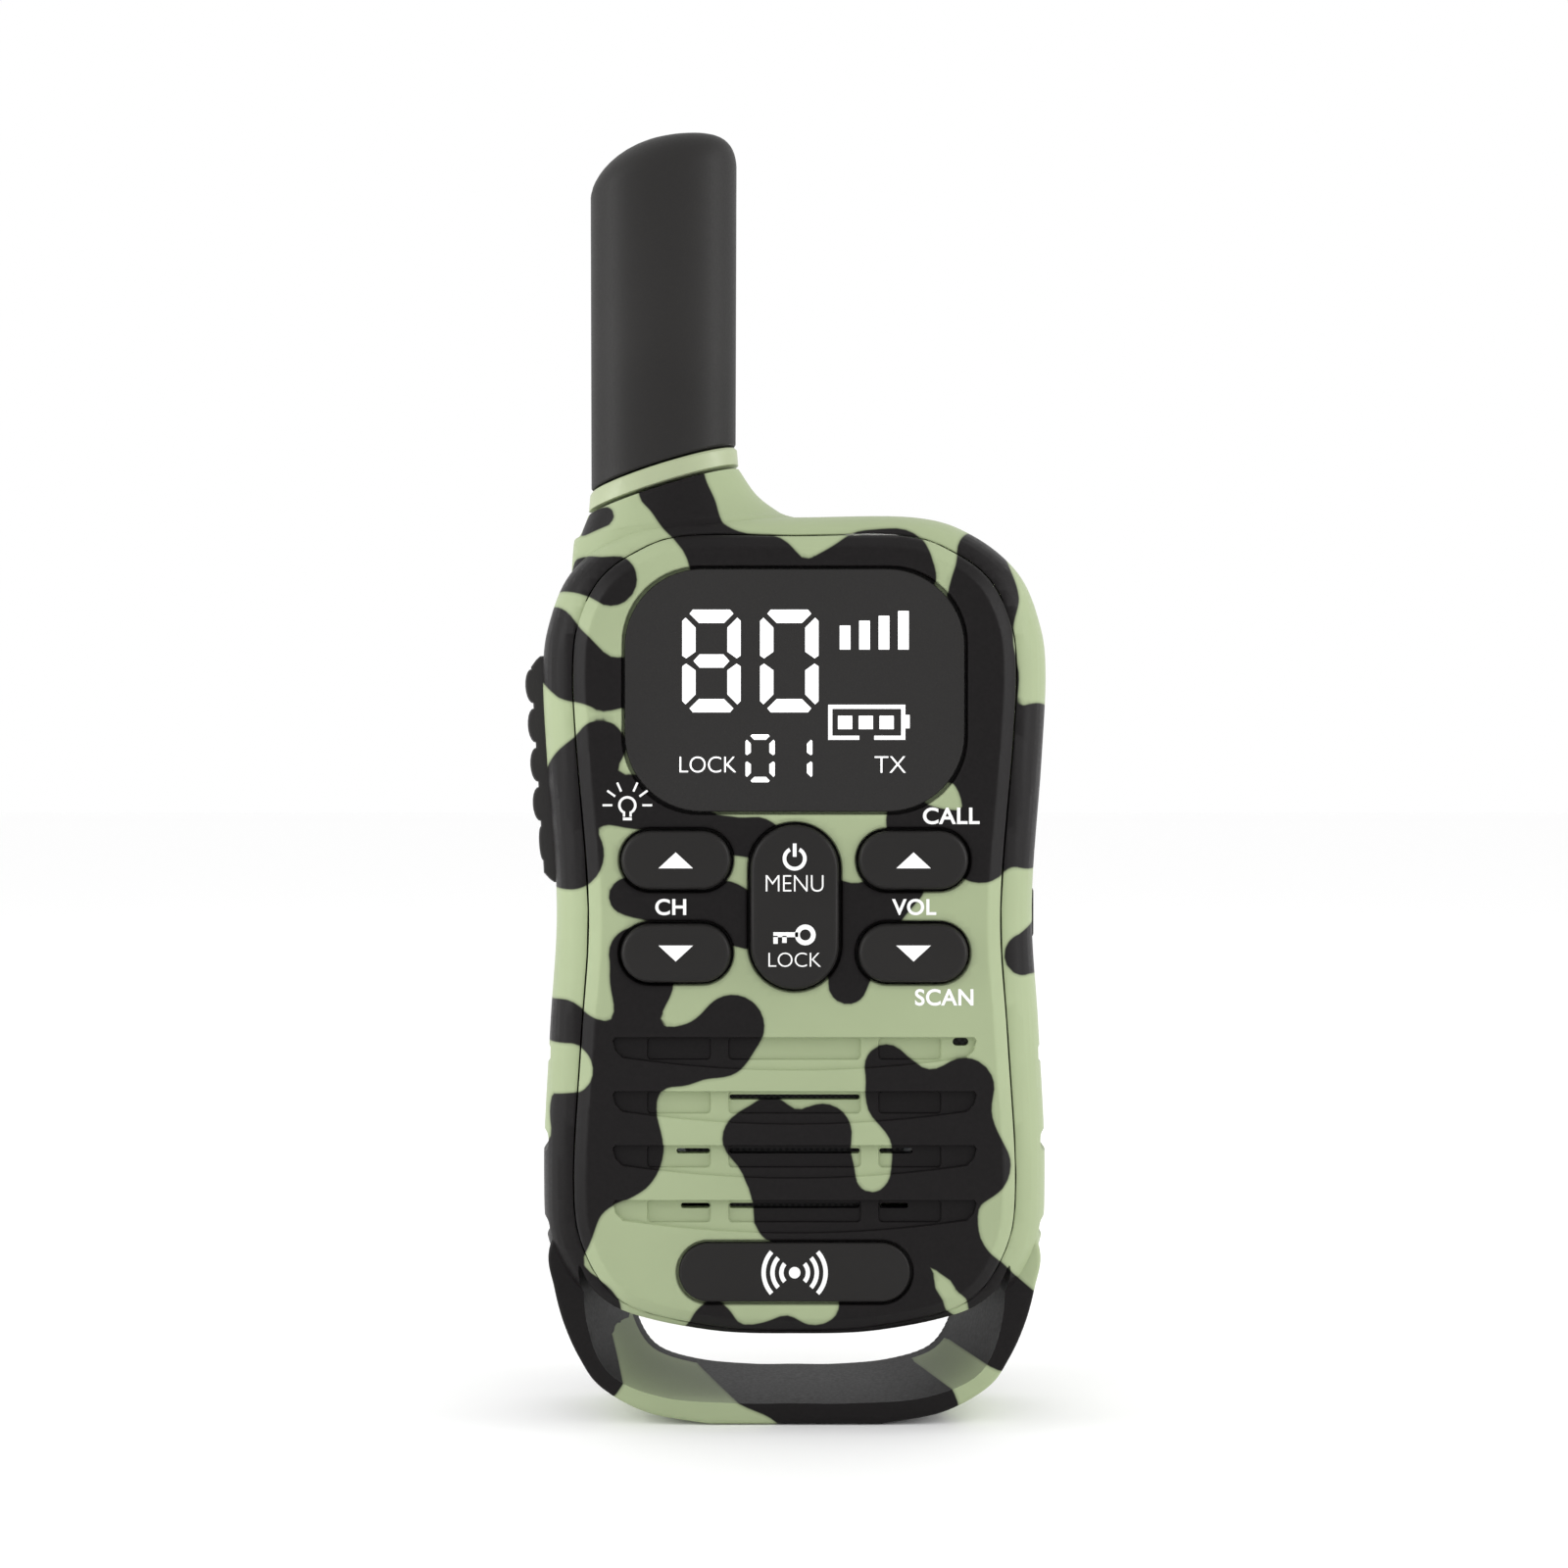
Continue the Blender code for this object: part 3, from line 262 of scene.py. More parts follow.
def camouflage_plastic():
    """Printed film over satin plastic; the mesh carries the distance to the nearest edge of a patch."""
    made, nodes, links, shader = new_material("camo_plastic")
    reach = nodes.new("ShaderNodeAttribute")
    reach.attribute_name = "camouflage"
    edge = nodes.new("ShaderNodeMapRange")
    edge.interpolation_type = "SMOOTHSTEP"
    edge.inputs["From Min"].default_value = -EDGE_WIDTH
    edge.inputs["From Max"].default_value = EDGE_WIDTH
    links.new(reach.outputs["Fac"], edge.inputs["Value"])
    rim = nodes.new("ShaderNodeMapRange")
    rim.inputs["From Min"].default_value = 0.0
    rim.inputs["From Max"].default_value = RIM_WIDTH
    links.new(reach.outputs["Fac"], rim.inputs["Value"])
    drift = grain(nodes, links, 0.05)
    fine = grain(nodes, links, 2.6, 4.0)
    green = mixed(nodes, links, ranged(nodes, links, drift.outputs["Fac"], 0, 1), shade(CAMO_GREEN, 0.95),
                  shade(CAMO_GREEN, 1.04))
    rimmed = mixed(nodes, links, rim.outputs["Result"], shade(CAMO_GREEN, 0.72), green)
    black = mixed(nodes, links, ranged(nodes, links, fine.outputs["Fac"], 0, 1), shade(CAMO_BLACK, 0.9),
                  shade(CAMO_BLACK, 1.15))
    links.new(mixed(nodes, links, edge.outputs["Result"], black, rimmed), shader.inputs["Base Color"])
    links.new(ranged(nodes, links, fine.outputs["Fac"], 0.38, 0.48), shader.inputs["Roughness"])
    shader.inputs["Specular IOR Level"].default_value = 0.10
    bumped(nodes, links, shader, fine.outputs["Fac"], 0.18, 0.02)
    return made


def woven(name, colour, pitch):
    """Cloth: two crossed sets of threads."""
    made, nodes, links, shader = new_material(name)
    place = nodes.new("ShaderNodeTexCoord")
    weave = nodes.new("ShaderNodeTexChecker")
    weave.inputs["Scale"].default_value = 1 / (pitch * MM)
    weave.inputs["Color1"].default_value = (*shade(colour, 0.6), 1)
    weave.inputs["Color2"].default_value = (*shade(colour, 1.6), 1)
    links.new(place.outputs["Object"], weave.inputs["Vector"])
    links.new(weave.outputs["Color"], shader.inputs["Base Color"])
    bumped(nodes, links, shader, weave.outputs["Fac"], 0.6, 0.1)
    shader.inputs["Roughness"].default_value = 0.95
    return made


# Name, colour and roughness, then grain scale, bump, depth, colour spread and metallic as moulded takes them
MOULDINGS = [
    ("collar_plastic", (0.352, 0.40, 0.245), 0.42, 2.6, 0.18, 0.02, 0.03),
    ("lcd", (0.2, 0.22, 0.19), 0.2, 6.0, 0.05, 0.01),
    ("white_plastic", (0.75, 0.75, 0.72), 0.5),
    ("circuit_board", (0.03, 0.16, 0.07), 0.45, 1.2, 0.4, 0.05, 0.3),
    ("steel", (0.55, 0.55, 0.56), 0.32, 5.0, 0.15, 0.01, 0.06, 1.0),
    ("copper", (0.75, 0.36, 0.20), 0.3, 5.0, 0.15, 0.01, 0.06, 1.0),
    ("cone_paper", (0.06, 0.055, 0.05), 0.9, 1.6, 0.6, 0.1, 0.2),
    ("cell_wrap", (0.10, 0.22, 0.38), 0.35, 2.0, 0.1, 0.02),
    ("red_wire", (0.5, 0.03, 0.03), 0.45),
    ("black_wire", (0.02, 0.02, 0.02), 0.45),
]
# Name, specular level, then the same
DARK_MOULDINGS = [
    ("black_rubber", 0.15, (0.0195, 0.0185, 0.018), 0.5, 4.0, 0.35, 0.03, 0.1),
    ("black_plastic", 0.13, (0.0165, 0.0155, 0.015), 0.4, 3.4, 0.25, 0.02, 0.08),
    ("smoked_acrylic", 0.15, (0.0215, 0.0205, 0.020), 0.28, 1.0, 0.03, 0.01, 0.04),
]


def make_materials():
    """One look for each of the record's material slots."""
    looks = {"camo_plastic": camouflage_plastic(),
             "speaker_cloth": woven("speaker_cloth", (0.02, 0.02, 0.02), 0.35)}
    for name, *values in MOULDINGS:
        looks[name] = moulded(name, *values)
    for name, specular, *values in DARK_MOULDINGS:
        looks[name] = moulded(name, *values, Specular_IOR_Level=specular)
    looks["silicone"] = moulded("silicone", (0.55, 0.56, 0.55), 0.6, Subsurface_Weight=0.15)
    looks["clear_acrylic"] = moulded("clear_acrylic", (0.93, 0.94, 0.95), 0.12, 1.0, 0.05, 0.01, 0.02,
                                     Transmission_Weight=0.5, Emission_Color=(1, 0.98, 0.95, 1),
                                     Emission_Strength=2.5)
    return looks


LOOKS = make_materials()
PRINT_WHITE = moulded("printed_white", (0.92, 0.92, 0.91), 0.5, 5.0, 0.1, 0.01, 0.02)
SCREEN_WHITE = moulded("screen_white", (0.95, 0.95, 0.95), 0.5, 5.0, 0.05, 0.01, 0.01,
                       Emission_Color=(1, 1, 1, 1), Emission_Strength=0.55)


# ---- outlines

def curved(p, q, r, s, t):
    """A Catmull-Rom curve's value between q and r."""
    bend = (2 * p - 5 * q + 4 * r - s) * t * t
    return 0.5 * (2 * q + (r - p) * t + bend + (3 * q - p - 3 * r + s) * t ** 3)


def smooth(points, steps, closed):
    """Points along a Catmull-Rom curve through the given points."""
    count = len(points)
    spans = count if closed else count - 1
    result = []
    for i in range(spans):
        if closed:
            a, b, c, d = (points[(i + k) % count] for k in (-1, 0, 1, 2))
        else:
            a, b, c, d = (points[min(max(i + k, 0), count - 1)] for k in (-1, 0, 1, 2))
        for k in range(steps):
            t = k / steps
            result.append(tuple(curved(*four, t) for four in zip(a, b, c, d)))
    if not closed:
        result.append(tuple(points[-1]))
    return result


def mirrored(half):
    return list(half) + [(-x, z) for x, z in reversed(half[1:-1])]


def body_outline(half, steps=8):
    return smooth(mirrored(half), steps, closed=True)


def rounded(width, height, radius, centre=(0, 0), steps=14):
    """A rectangle with round corners, as x, z points."""
    radius = min(radius, width / 2, height / 2)
    points = []
    for sx, sz, start in ((1, 1, 0), (-1, 1, 90), (-1, -1, 180), (1, -1, 270)):
        for k in range(steps + 1):
            angle = math.radians(start + 90 * k / steps)
            x = centre[0] + sx * (width / 2 - radius) + radius * math.cos(angle)
            z = centre[1] + sz * (height / 2 - radius) + radius * math.sin(angle)
            if not points or math.dist((x, z), points[-1]) > 1e-6:
                points.append((x, z))
    if math.dist(points[0], points[-1]) < 1e-6:
        points.pop()
    return points


def inset(outline, distance):
    """The outline moved inward by a distance, along the normals of its points."""
    count = len(outline)
    area = sum(outline[i][0] * outline[(i + 1) % count][1] - outline[(i + 1) % count][0] * outline[i][1]
               for i in range(count))
    side = 1 if area > 0 else -1
    result = []
    for i, (x, z) in enumerate(outline):
        along = (Vector(outline[(i + 1) % count]) - Vector(outline[i - 1])).normalized()
        result.append((x - side * along.y * distance, z + side * along.x * distance))
    return result


def between(first, second, share):
    return [(a[0] + (b[0] - a[0]) * share, a[1] + (b[1] - a[1]) * share) for a, b in zip(first, second)]


# ---- meshes, in millimetres until finished

def raw(name, bm):
    """A scratch object from a bmesh, still in millimetres."""
    bmesh.ops.recalc_face_normals(bm, faces=bm.faces)
    mesh = bpy.data.meshes.new(name)
    bm.to_mesh(mesh)
    bm.free()
    item = bpy.data.objects.new(name, mesh)
    bpy.context.scene.collection.objects.link(item)
    return item


def loft(name, rings, turn=None):
    """A capped solid through rings of x, y, z points; every ring has as many points."""
    bm = bmesh.new()
    rows = [[bm.verts.new(point) for point in ring] for ring in rings]
    count = len(rows[0])
    for low, high in zip(rows, rows[1:]):
        for i in range(count):
            k = (i + 1) % count
            bm.faces.new((low[i], low[k], high[k], high[i]))
    bm.faces.new(rows[0])
    bm.faces.new(rows[-1])
    if turn:
        bm.transform(turn)
    return raw(name, bm)


def depth_loft(name, stations, turn=None):
    return loft(name, [[(x, y, z) for x, z in outline] for outline, y in stations], turn)


def plate(name, outline, low_y, high_y, turn=None):
    return depth_loft(name, [(outline, low_y), (outline, high_y)], turn)


def box(name, low, high, turn=None):
    outline = [(low[0], low[2]), (high[0], low[2]), (high[0], high[2]), (low[0], high[2])]
    return plate(name, outline, low[1], high[1], turn)


def axis_turn(axis):
    return Vector((0, 0, 1)).rotation_difference(Vector(axis)).to_matrix().to_4x4()


def cylinder(name, start, axis, radius, length, sides=40):
    bm = bmesh.new()
    bmesh.ops.create_cone(bm, cap_ends=True, segments=sides, radius1=radius, radius2=radius, depth=length)
    bm.transform(Matrix.Translation(start) @ axis_turn(axis) @ Matrix.Translation((0, 0, length / 2)))
    return raw(name, bm)


def settle(item):
    """Apply an object's modifiers."""
    bpy.context.view_layer.update()
    ready = item.evaluated_get(bpy.context.evaluated_depsgraph_get())
    mesh = bpy.data.meshes.new_from_object(ready)
    item.modifiers.clear()
    old = item.data
    item.data = mesh
    bpy.data.meshes.remove(old)
    return item


def combine(item, operation, others):
    """Cut away, or join on, other scratch objects, which are then removed."""
    for other in others:
        step = item.modifiers.new(operation, "BOOLEAN")
        step.operation = operation
        step.solver = "EXACT"
        step.object = other
    settle(item)
    for other in others:
        bpy.data.objects.remove(other, do_unlink=True)
    return item


def cut(item, *others):
    return combine(item, "DIFFERENCE", others)


def join(item, *others):
    return combine(item, "UNION", others)


def bevel(item, width, segments=3, angle=40):
    step = item.modifiers.new("round_edges", "BEVEL")
    step.width = width
    step.segments = segments
    step.limit_method = "ANGLE"
    step.angle_limit = math.radians(angle)
    return settle(item)


def gridded(item, pitch_x, pitch_y, pitch_z):
    """Cut a mesh's faces along evenly spaced planes, so that the printed pattern has points to sit on."""
    bm = bmesh.new()
    bm.from_mesh(item.data)
    for axis, pitch in enumerate((pitch_x, pitch_y, pitch_z)):
        spots = [vert.co[axis] for vert in bm.verts]
        normal = Vector((0, 0, 0))
        normal[axis] = 1
        for step in range(math.floor(min(spots) / pitch) + 1, math.ceil(max(spots) / pitch)):
            everything = bm.verts[:] + bm.edges[:] + bm.faces[:]
            bmesh.ops.bisect_plane(bm, geom=everything, dist=0.0005, plane_co=normal * step * pitch,
                                   plane_no=normal)
    bm.to_mesh(item.data)
    bm.free()
    return item


def finish_piece(item, name, body, slot, look=None, replaced=(), sharp=32):
    """Turn a scratch object into metres, name and shade it, and hang it on its body."""
    item.name = name
    item.data.name = name
    item.data.transform(Matrix.Scale(MM, 4))
    item.data.materials.clear()
    item.data.materials.append(look or LOOKS[slot])
    item.data.shade_smooth()
    item.data.set_sharp_from_angle(angle=math.radians(sharp))
    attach(item, body)
    if replaced:
        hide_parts(*replaced)
    return item


# ---- camouflage

def softly_joined(first, second):
    """The nearer of two distances, rounded where they meet."""
    share = np.clip(0.5 + 0.5 * (first - second) / BLOB_BLEND, 0, 1)
    return first + (second - first) * share - BLOB_BLEND * share * (1 - share)


def chain_distance(chain, x, z):
    """Signed distance from points to a run of round blobs whose radius changes evenly between them."""
    best = np.full(x.shape, 1e3)
    for (ax, az, ar), (bx, bz, br) in zip(chain, chain[1:]):
        span = (bx - ax) ** 2 + (bz - az) ** 2
        along = np.clip(((x - ax) * (bx - ax) + (z - az) * (bz - az)) / span, 0, 1)
        away = np.hypot(x - ax - along * (bx - ax), z - az - along * (bz - az))
        best = softly_joined(best, away - (ar + along * (br - ar)))
    return best


def front_print(x, z):
    """Distance to the edge of the black on the front view: below zero is black."""
    black = np.full(x.shape, 1e3)
    for chain in BLACK_CHAINS.values():
        black = softly_joined(black, chain_distance(chain, x, z))
    for chain in GREEN_CHAINS.values():
        black = np.maximum(black, -chain_distance(chain, x, z))
    return black


def back_print(points):
    """The same kind of blobs from slow noise, for the sides and back."""
    values = [noise.noise(Vector(point) / BACK_BLOB + Vector((7.3, 2.1, 4.4))) for point in points]
    return (np.array(values) + 0.02) * BACK_BLOB


def paint(item):
    """Store the camouflage distance on a mesh that is still in millimetres; on the lanyard loop it also
    carries the painted shade of the black back lip.
    """
    mesh = item.data
    points = np.empty(len(mesh.vertices) * 3)
    mesh.vertices.foreach_get("co", points)
    points = points.reshape(-1, 3)
    on_loop = points[:, 2] < LOOP_TOP_Z
    across = points[:, 0] + LOOP_SLANT * (points[:, 1] - LOOP_FRONT_Y) * on_loop
    front = front_print(across, points[:, 2])
    share = np.clip((points[:, 1] - FRONT_PRINT_Y) / (BACK_PRINT_Y - FRONT_PRINT_Y), 0, 1)
    share = share * share * (3 - 2 * share) * np.clip((points[:, 2] - LOOP_TOP_Z) / LOOP_BLEND, 0, 1)
    field = front * (1 - share) + back_print(points) * share
    # the loop's back lip is painted black here as painted shade
    field[on_loop] = np.minimum(field[on_loop], LOOP_SHADE_LIP_Y - points[on_loop, 1])
    layer = mesh.attributes.new("camouflage", "FLOAT", "POINT")
    layer.data.foreach_set("value", np.clip(field, -FIELD_LIMIT, FIELD_LIMIT))
    return item


# ---- housing

FLARE = [(SEAM_Y, 0.0), (-9.7, 0.24), (-9.2, 0.42), (-8.4, 0.6), (-7.4, 0.74), (-6.2, 0.86), (-4.8, 0.94),
         (-3.2, 0.98), (-1.5, 1.0)]
ROUNDING = [(4.5, 0.0), (6.8, 0.22), (8.5, 0.7), (10.0, 1.35), (11.2, 2.2), (12.0, 3.2), (BACK_Y, 4.4)]


def body_stations(skin=0.0, steps=8):
    """Outlines and depths of the rear shell's outside, or of its inside when skin is the wall."""
    seam = body_outline(SEAM_HALF, steps)
    wide = body_outline(WIDE_HALF, steps)
    stations = [(inset(between(seam, wide, share), skin), y) for y, share in FLARE]
    stations += [(inset(wide, pull + skin), min(y, BACK_Y - skin)) for y,
                 pull in ROUNDING if y < BACK_Y - skin]
    stations.append((inset(wide, ROUNDING[-1][1] + skin), BACK_Y - skin))
    return stations


def antenna_ring(z, rx, ry, tilt=ANTENNA_TILT, centre=ANTENNA_X, count=72):
    ring = []
    for k in range(count):
        angle = 2 * math.pi * k / count
        x = centre + rx * math.cos(angle)
        ring.append((x, ry * math.sin(angle), z + tilt * (x - ANTENNA_X)))
    return ring


# Stations of the antenna's root: height on the antenna's axis, left x, right x, half depth, tilt
ROOT_STATIONS = [(96.0, -26.4, 3.4, 9.5, 0), (102.6, -26.0, 1.6, 9.3, 0.07), (103.8, -25.6, -1.6, 9.1, 0.13),
                 (105.3, -25.1, -4.4, 8.6, 0.22), (COLLAR_Z - 0.15, -24.3, -6.5, 7.7, ANTENNA_TILT)]


def antenna_root():
    rings = []
    for z, left, right, depth, tilt in smooth(ROOT_STATIONS, 4, closed=False):
        rings.append(antenna_ring(z, (right - left) / 2, depth, tilt, (right + left) / 2))
    return loft("antenna_root", rings)


SHELL_LIP = 0.12          # thickness of the shell's lip round the cover
LIP_DEPTH = 1.1
COVER_INSET = 0.36        # the cover's edge stands this far inside the seam outline


def lanyard_loop():
    half = smooth(LOOP_HALF, 8, closed=False)
    outline = half + [(-x, z) for x, z in reversed(half)]
    return bevel(plate("loop", outline, LOOP_FRONT_Y, LOOP_BACK_Y), 0.9, 4)


def lanyard_gap():
    front = body_outline(GAP_FRONT_HALF, 6)
    back = body_outline(GAP_BACK_HALF, 6)
    return depth_loft("gap", [(between(back, front, 1.15), LOOP_FRONT_Y - 4),
                              (between(front, back, 1.3), LOOP_BACK_Y + 5)])


def ptt_turn():
    middle = Vector((-28.6, 0, sum(PTT_Z) / 2))
    return Matrix.Translation(middle) @ Matrix.Rotation(math.radians(PTT_TILT), 4,
                                                        "Y") @ Matrix.Translation(-middle)


def shell_hollow():
    lip = inset(body_outline(SEAM_HALF, 3), SHELL_LIP)
    stations = [(lip, SEAM_Y - 1), (lip, SEAM_Y + LIP_DEPTH)]
    stations += [(outline, y) for outline, y in body_stations(WALL, 3) if y > SEAM_Y + LIP_DEPTH]
    hollow = depth_loft("hollow", stations)
    wall_x = DOOR_X + 1.2
    keep = [box("keep", (-wall_x, -1.0, 13.8), (wall_x, BACK_Y + 4, 73.3))]
    keep += [cylinder("boss", (x, SEAM_Y - 3, z), (0, 1, 0), 2.2, 30, 24) for x, z in SCREW_PLACES]
    return cut(hollow, *keep)


def grip_groove(side, z):
    """A shallow pill-shaped groove in the side wall."""
    half = 1.2
    outline = rounded(18.0, 2 * half, half, (1.5, z), 6)
    low = side * 28.3
    high = side * 33.0
    rings = [[(low + side * lift, y, zz) for y, zz in inset(outline, pull)]
             for lift, pull in ((-0.1, 0.45), (0.25, 0.12), (0.7, -0.1))]
    rings.append([(high, y, zz) for y, zz in inset(outline, -0.6)])
    return loft("groove", rings)


def build_rear_shell():
    """The outside, less its hollow, the battery box, and the openings for the moving pieces."""
    shell = depth_loft("shell", body_stations())
    door_low_x = -DOOR_X - GAP
    join(shell, antenna_root(), lanyard_loop())
    cut(shell, lanyard_gap())
    gridded(shell, 0.9, 1.5, 0.9)
    compartment = box("compartment", (-17.2, 0.2, 17.0), (17.2, BACK_Y + 4, 68.5))
    recess = box("recess", (door_low_x, DOOR_INNER_Y - GAP, DOOR_LOW_Z - GAP),
                 (-door_low_x, BACK_Y + 4, DOOR_HINGE[1]))
    groove = cylinder("hinge_groove", (door_low_x, *DOOR_HINGE), (1, 0, 0), 1.4, -2 * door_low_x, 24)
    window = box("ptt_window", (-34, PTT_Y[0] - GAP, PTT_Z[0] - GAP), (-26.3, PTT_Y[1] + GAP, PTT_Z[1] + GAP),
                 ptt_turn())
    jack = box("jack_recess", (27.0, JACK_Y[0] - GAP, JACK_Z[0] - GAP),
               (33, JACK_Y[1] + 0.35, JACK_Z[1] + GAP))
    socket = box("jack_window", (24.0, -1.6, JACK_Z[0] + 0.6), (29, 1.6, JACK_Z[1] - 0.6))
    lamp = cylinder("lamp_hole", (LAMP_X, LAMP_Y, 98), (0, 0, 1), 3.1, 12, 32)
    bore = cylinder("antenna_bore", (ANTENNA_X, 0, 94), (0, 0, 1), 4.2, 30, 32)
    cut(shell, shell_hollow(), compartment, recess, groove, window, jack, socket, lamp, bore)
    holes = []
    for x, z in SCREW_PLACES:
        holes.append(cylinder("screw_head_hole", (x, 6.0, z), (0, 1, 0), 1.9, 12, 24))
        holes.append(cylinder("screw_hole", (x, SEAM_Y - 3, z), (0, 1, 0), 1.1, 30, 16))
    holes += [grip_groove(side, z) for side in (-1, 1) for z in GRIP_Z]
    cut(shell, *holes)
    paint(shell)
    return finish_piece(shell, "shell_moulding", "housing", "camo_plastic", replaced=["rear_shell"])


def well(name, outline, floor_y, mouth=0.45):
    """A cutter for a straight opening in the front face with a rounded mouth."""
    return depth_loft(name, [(inset(outline, -mouth - 1), FRONT_Y - 1), (inset(outline, -mouth), FRONT_Y),
                             (inset(outline, -mouth * 0.35), FRONT_Y + mouth * 0.3),
                             (outline, FRONT_Y + mouth),
                             (outline, floor_y)])


def channel_outline(top, trim=0.0):
    """A grille channel: flat above, bowed below, with slanted ends."""
    half = GRILLE_HALF_WIDTH - trim
    points = [(-half + 0.3, top - trim), (half - 0.3, top - trim), (half, top - trim - 0.4),
              (half - 0.3, top - trim - 1.5)]
    steps = 20
    for k in range(steps + 1):
        x = (half - 1.1) * (1 - 2 * k / steps)
        points.append((x, top - 3.8 + trim + 1.6 * (x / half) ** 2))
    points += [(-half + 0.3, top - trim - 1.5), (-half, top - trim - 0.4)]
    return points


def slanted(outline, top, extra=0.0):
    """Floor points of a channel, which is deepest along its top edge."""
    return [(x, FRONT_Y + extra + GRILLE_DEPTH * (0.42 + 0.58 * (z - top + 3.8) / 3.8), z) for x,
            z in outline]


def flat_ring(outline, y):
    return [(x, y, z) for x, z in outline]


def grille_cutters():
    """The slanted channels, the deeper pockets in them, and the sound slots."""
    cutters = []
    for row, top in enumerate(GRILLE_TOPS):
        mouth = channel_outline(top)
        cutters.append(loft("channel", [flat_ring(channel_outline(top, -0.9), FRONT_Y - 1),
                                        flat_ring(mouth, FRONT_Y),
                                        slanted(channel_outline(top, 0.12), top)]))
        for low, high in POCKETS:
            pocket = rounded(high - low, 2.3, 0.35, ((low + high) / 2, top - 1.35), 4)
            cutters.append(loft("pocket", [flat_ring(inset(pocket, -0.2), FRONT_Y - 1),
                                           slanted(inset(pocket, -0.12), top, 0.05),
                                           slanted(pocket, top, 0.35)]))
        for low, high in SLOT_ROWS.get(row, []):
            slot = rounded(high - low, 0.6, 0.28, ((low + high) / 2, top - 0.8), 4)
            cutters.append(plate("slot", slot, FRONT_Y - 1, SEAM_Y + 1))
    return cutters


def build_front_cover():
    seam = body_outline(SEAM_HALF)
    face = inset(seam, 2.0)
    edge = inset(seam, COVER_INSET)
    stations = [(inset(edge, 0.3), SEAM_Y + 0.4), (edge, SEAM_Y + 0.3), (edge, SEAM_Y - 0.75),
                (inset(edge, 0.12), SEAM_Y - 1.05), (inset(edge, 0.4), SEAM_Y - 1.35),
                (inset(face, -0.45), FRONT_Y + 0.3), (inset(face, -0.18), FRONT_Y + 0.06), (face, FRONT_Y)]
    cover = depth_loft("cover", stations)
    lens_centre = (0, LENS_Z)
    width, height = LENS_SIZE
    cutters = [well("lens_recess", rounded(width + 2 * GAP, height + 2 * GAP, LENS_RADIUS, lens_centre),
                    -11.0, 0.3),
               plate("lens_window", rounded(width - 4, height - 4, 7.0, lens_centre), FRONT_Y - 1,
                     SEAM_Y + 1),
               well("rocker_well", rounded(ROCKER_SIZE[0] + 2 * GAP, ROCKER_SIZE[1] + 2 * GAP, 9,
                                           (0, ROCKER_Z)),
                    SEAM_Y + 1),
               well("badge_recess", rounded(BADGE_SIZE[0] + 2 * GAP, BADGE_SIZE[1] + 2 * GAP, 9,
                                            (0, BADGE_Z)), -11.4,
                    0.3),
               plate("mic_hole", rounded(1.8, 0.9, 0.45, MIC, 6), FRONT_Y - 1, SEAM_Y + 1)]
    for x in (-KEY_X, KEY_X):
        for z in KEY_ROWS.values():
            cutters.append(well("key_well", rounded(KEY_SIZE[0] + 2 * GAP, KEY_SIZE[1] + 2 * GAP, 9, (x, z)),
                                SEAM_Y + 1))
    cut(cover, *cutters, *grille_cutters())
    gridded(cover, 0.8, 50, 0.8)
    paint(cover)
    return finish_piece(cover, "cover_moulding", "housing", "camo_plastic", replaced=["front_cover"])


# ---- antenna

def build_antenna():
    top = COLLAR_Z + COLLAR_HEIGHT
    wide = (ANTENNA_RX + 0.2, ANTENNA_RY + 0.2)
    collar = loft("collar", [antenna_ring(COLLAR_Z + GAP, wide[0] - 0.25, wide[1] - 0.25),
                             antenna_ring(COLLAR_Z + GAP + 0.12, *wide),
                             antenna_ring(top - 0.3, ANTENNA_RX + 0.05, ANTENNA_RY + 0.05),
                             antenna_ring(top, ANTENNA_RX - 0.2, ANTENNA_RY - 0.2)])
    finish_piece(collar, "collar_moulding", "housing", "collar_plastic", replaced=["antenna_collar"])
    shoulder = 144.6
    shoulder_tilt = 0.22
    rings = [antenna_ring(top + GAP, ANTENNA_RX - 0.25, ANTENNA_RY - 0.25),
             antenna_ring(top + GAP + 0.2, ANTENNA_RX - 0.1, ANTENNA_RY - 0.1),
             antenna_ring(shoulder, ANTENNA_RX, ANTENNA_RY, shoulder_tilt)]
    crown = []
    steps = 14
    for k in range(1, steps + 1):
        angle = math.pi / 2 * k / (steps + 0.25)
        shrink = math.cos(angle) ** 0.8
        crown.append(antenna_ring(shoulder + (ANTENNA_TOP - shoulder) * math.sin(angle), ANTENNA_RX * shrink,
                                  ANTENNA_RY * shrink, shoulder_tilt * shrink,
                                  ANTENNA_X + 3.4 * (1 - shrink)))
    excess = max(z for ring in crown for x, y, z in ring) - ANTENNA_TOP
    rings += [[(x, y, z - excess) for x, y, z in ring] for ring in crown]
    sleeve = loft("sleeve", rings)
    finish_piece(sleeve, "sleeve_moulding", "housing", "black_rubber", replaced=["antenna_sleeve"])


# ---- front controls

def cap_stations(outline, back_y, face_y, radius):
    """A cap with a quarter-round edge at its face."""
    stations = [(outline, back_y)]
    steps = 6
    for k in range(steps + 1):
        angle = math.pi / 2 * k / steps
        stations.append((inset(outline, radius * (1 - math.cos(angle))),
                         face_y + radius * (1 - math.sin(angle))))
    return stations


def key_piece(name, size, centre, body, node):
    cap = rounded(*size, 9, centre)
    flange = rounded(size[0] + 1.6, size[1] + 1.6, 9, centre)
    stations = [(flange, KEY_FLANGE_Y), (flange, KEY_FLANGE_Y - 0.5)]
    stations += cap_stations(cap, KEY_FLANGE_Y - 0.5, KEY_FACE_Y, 0.75)
    return finish_piece(depth_loft(name, stations), name, body, "black_plastic", replaced=[node], sharp=40)


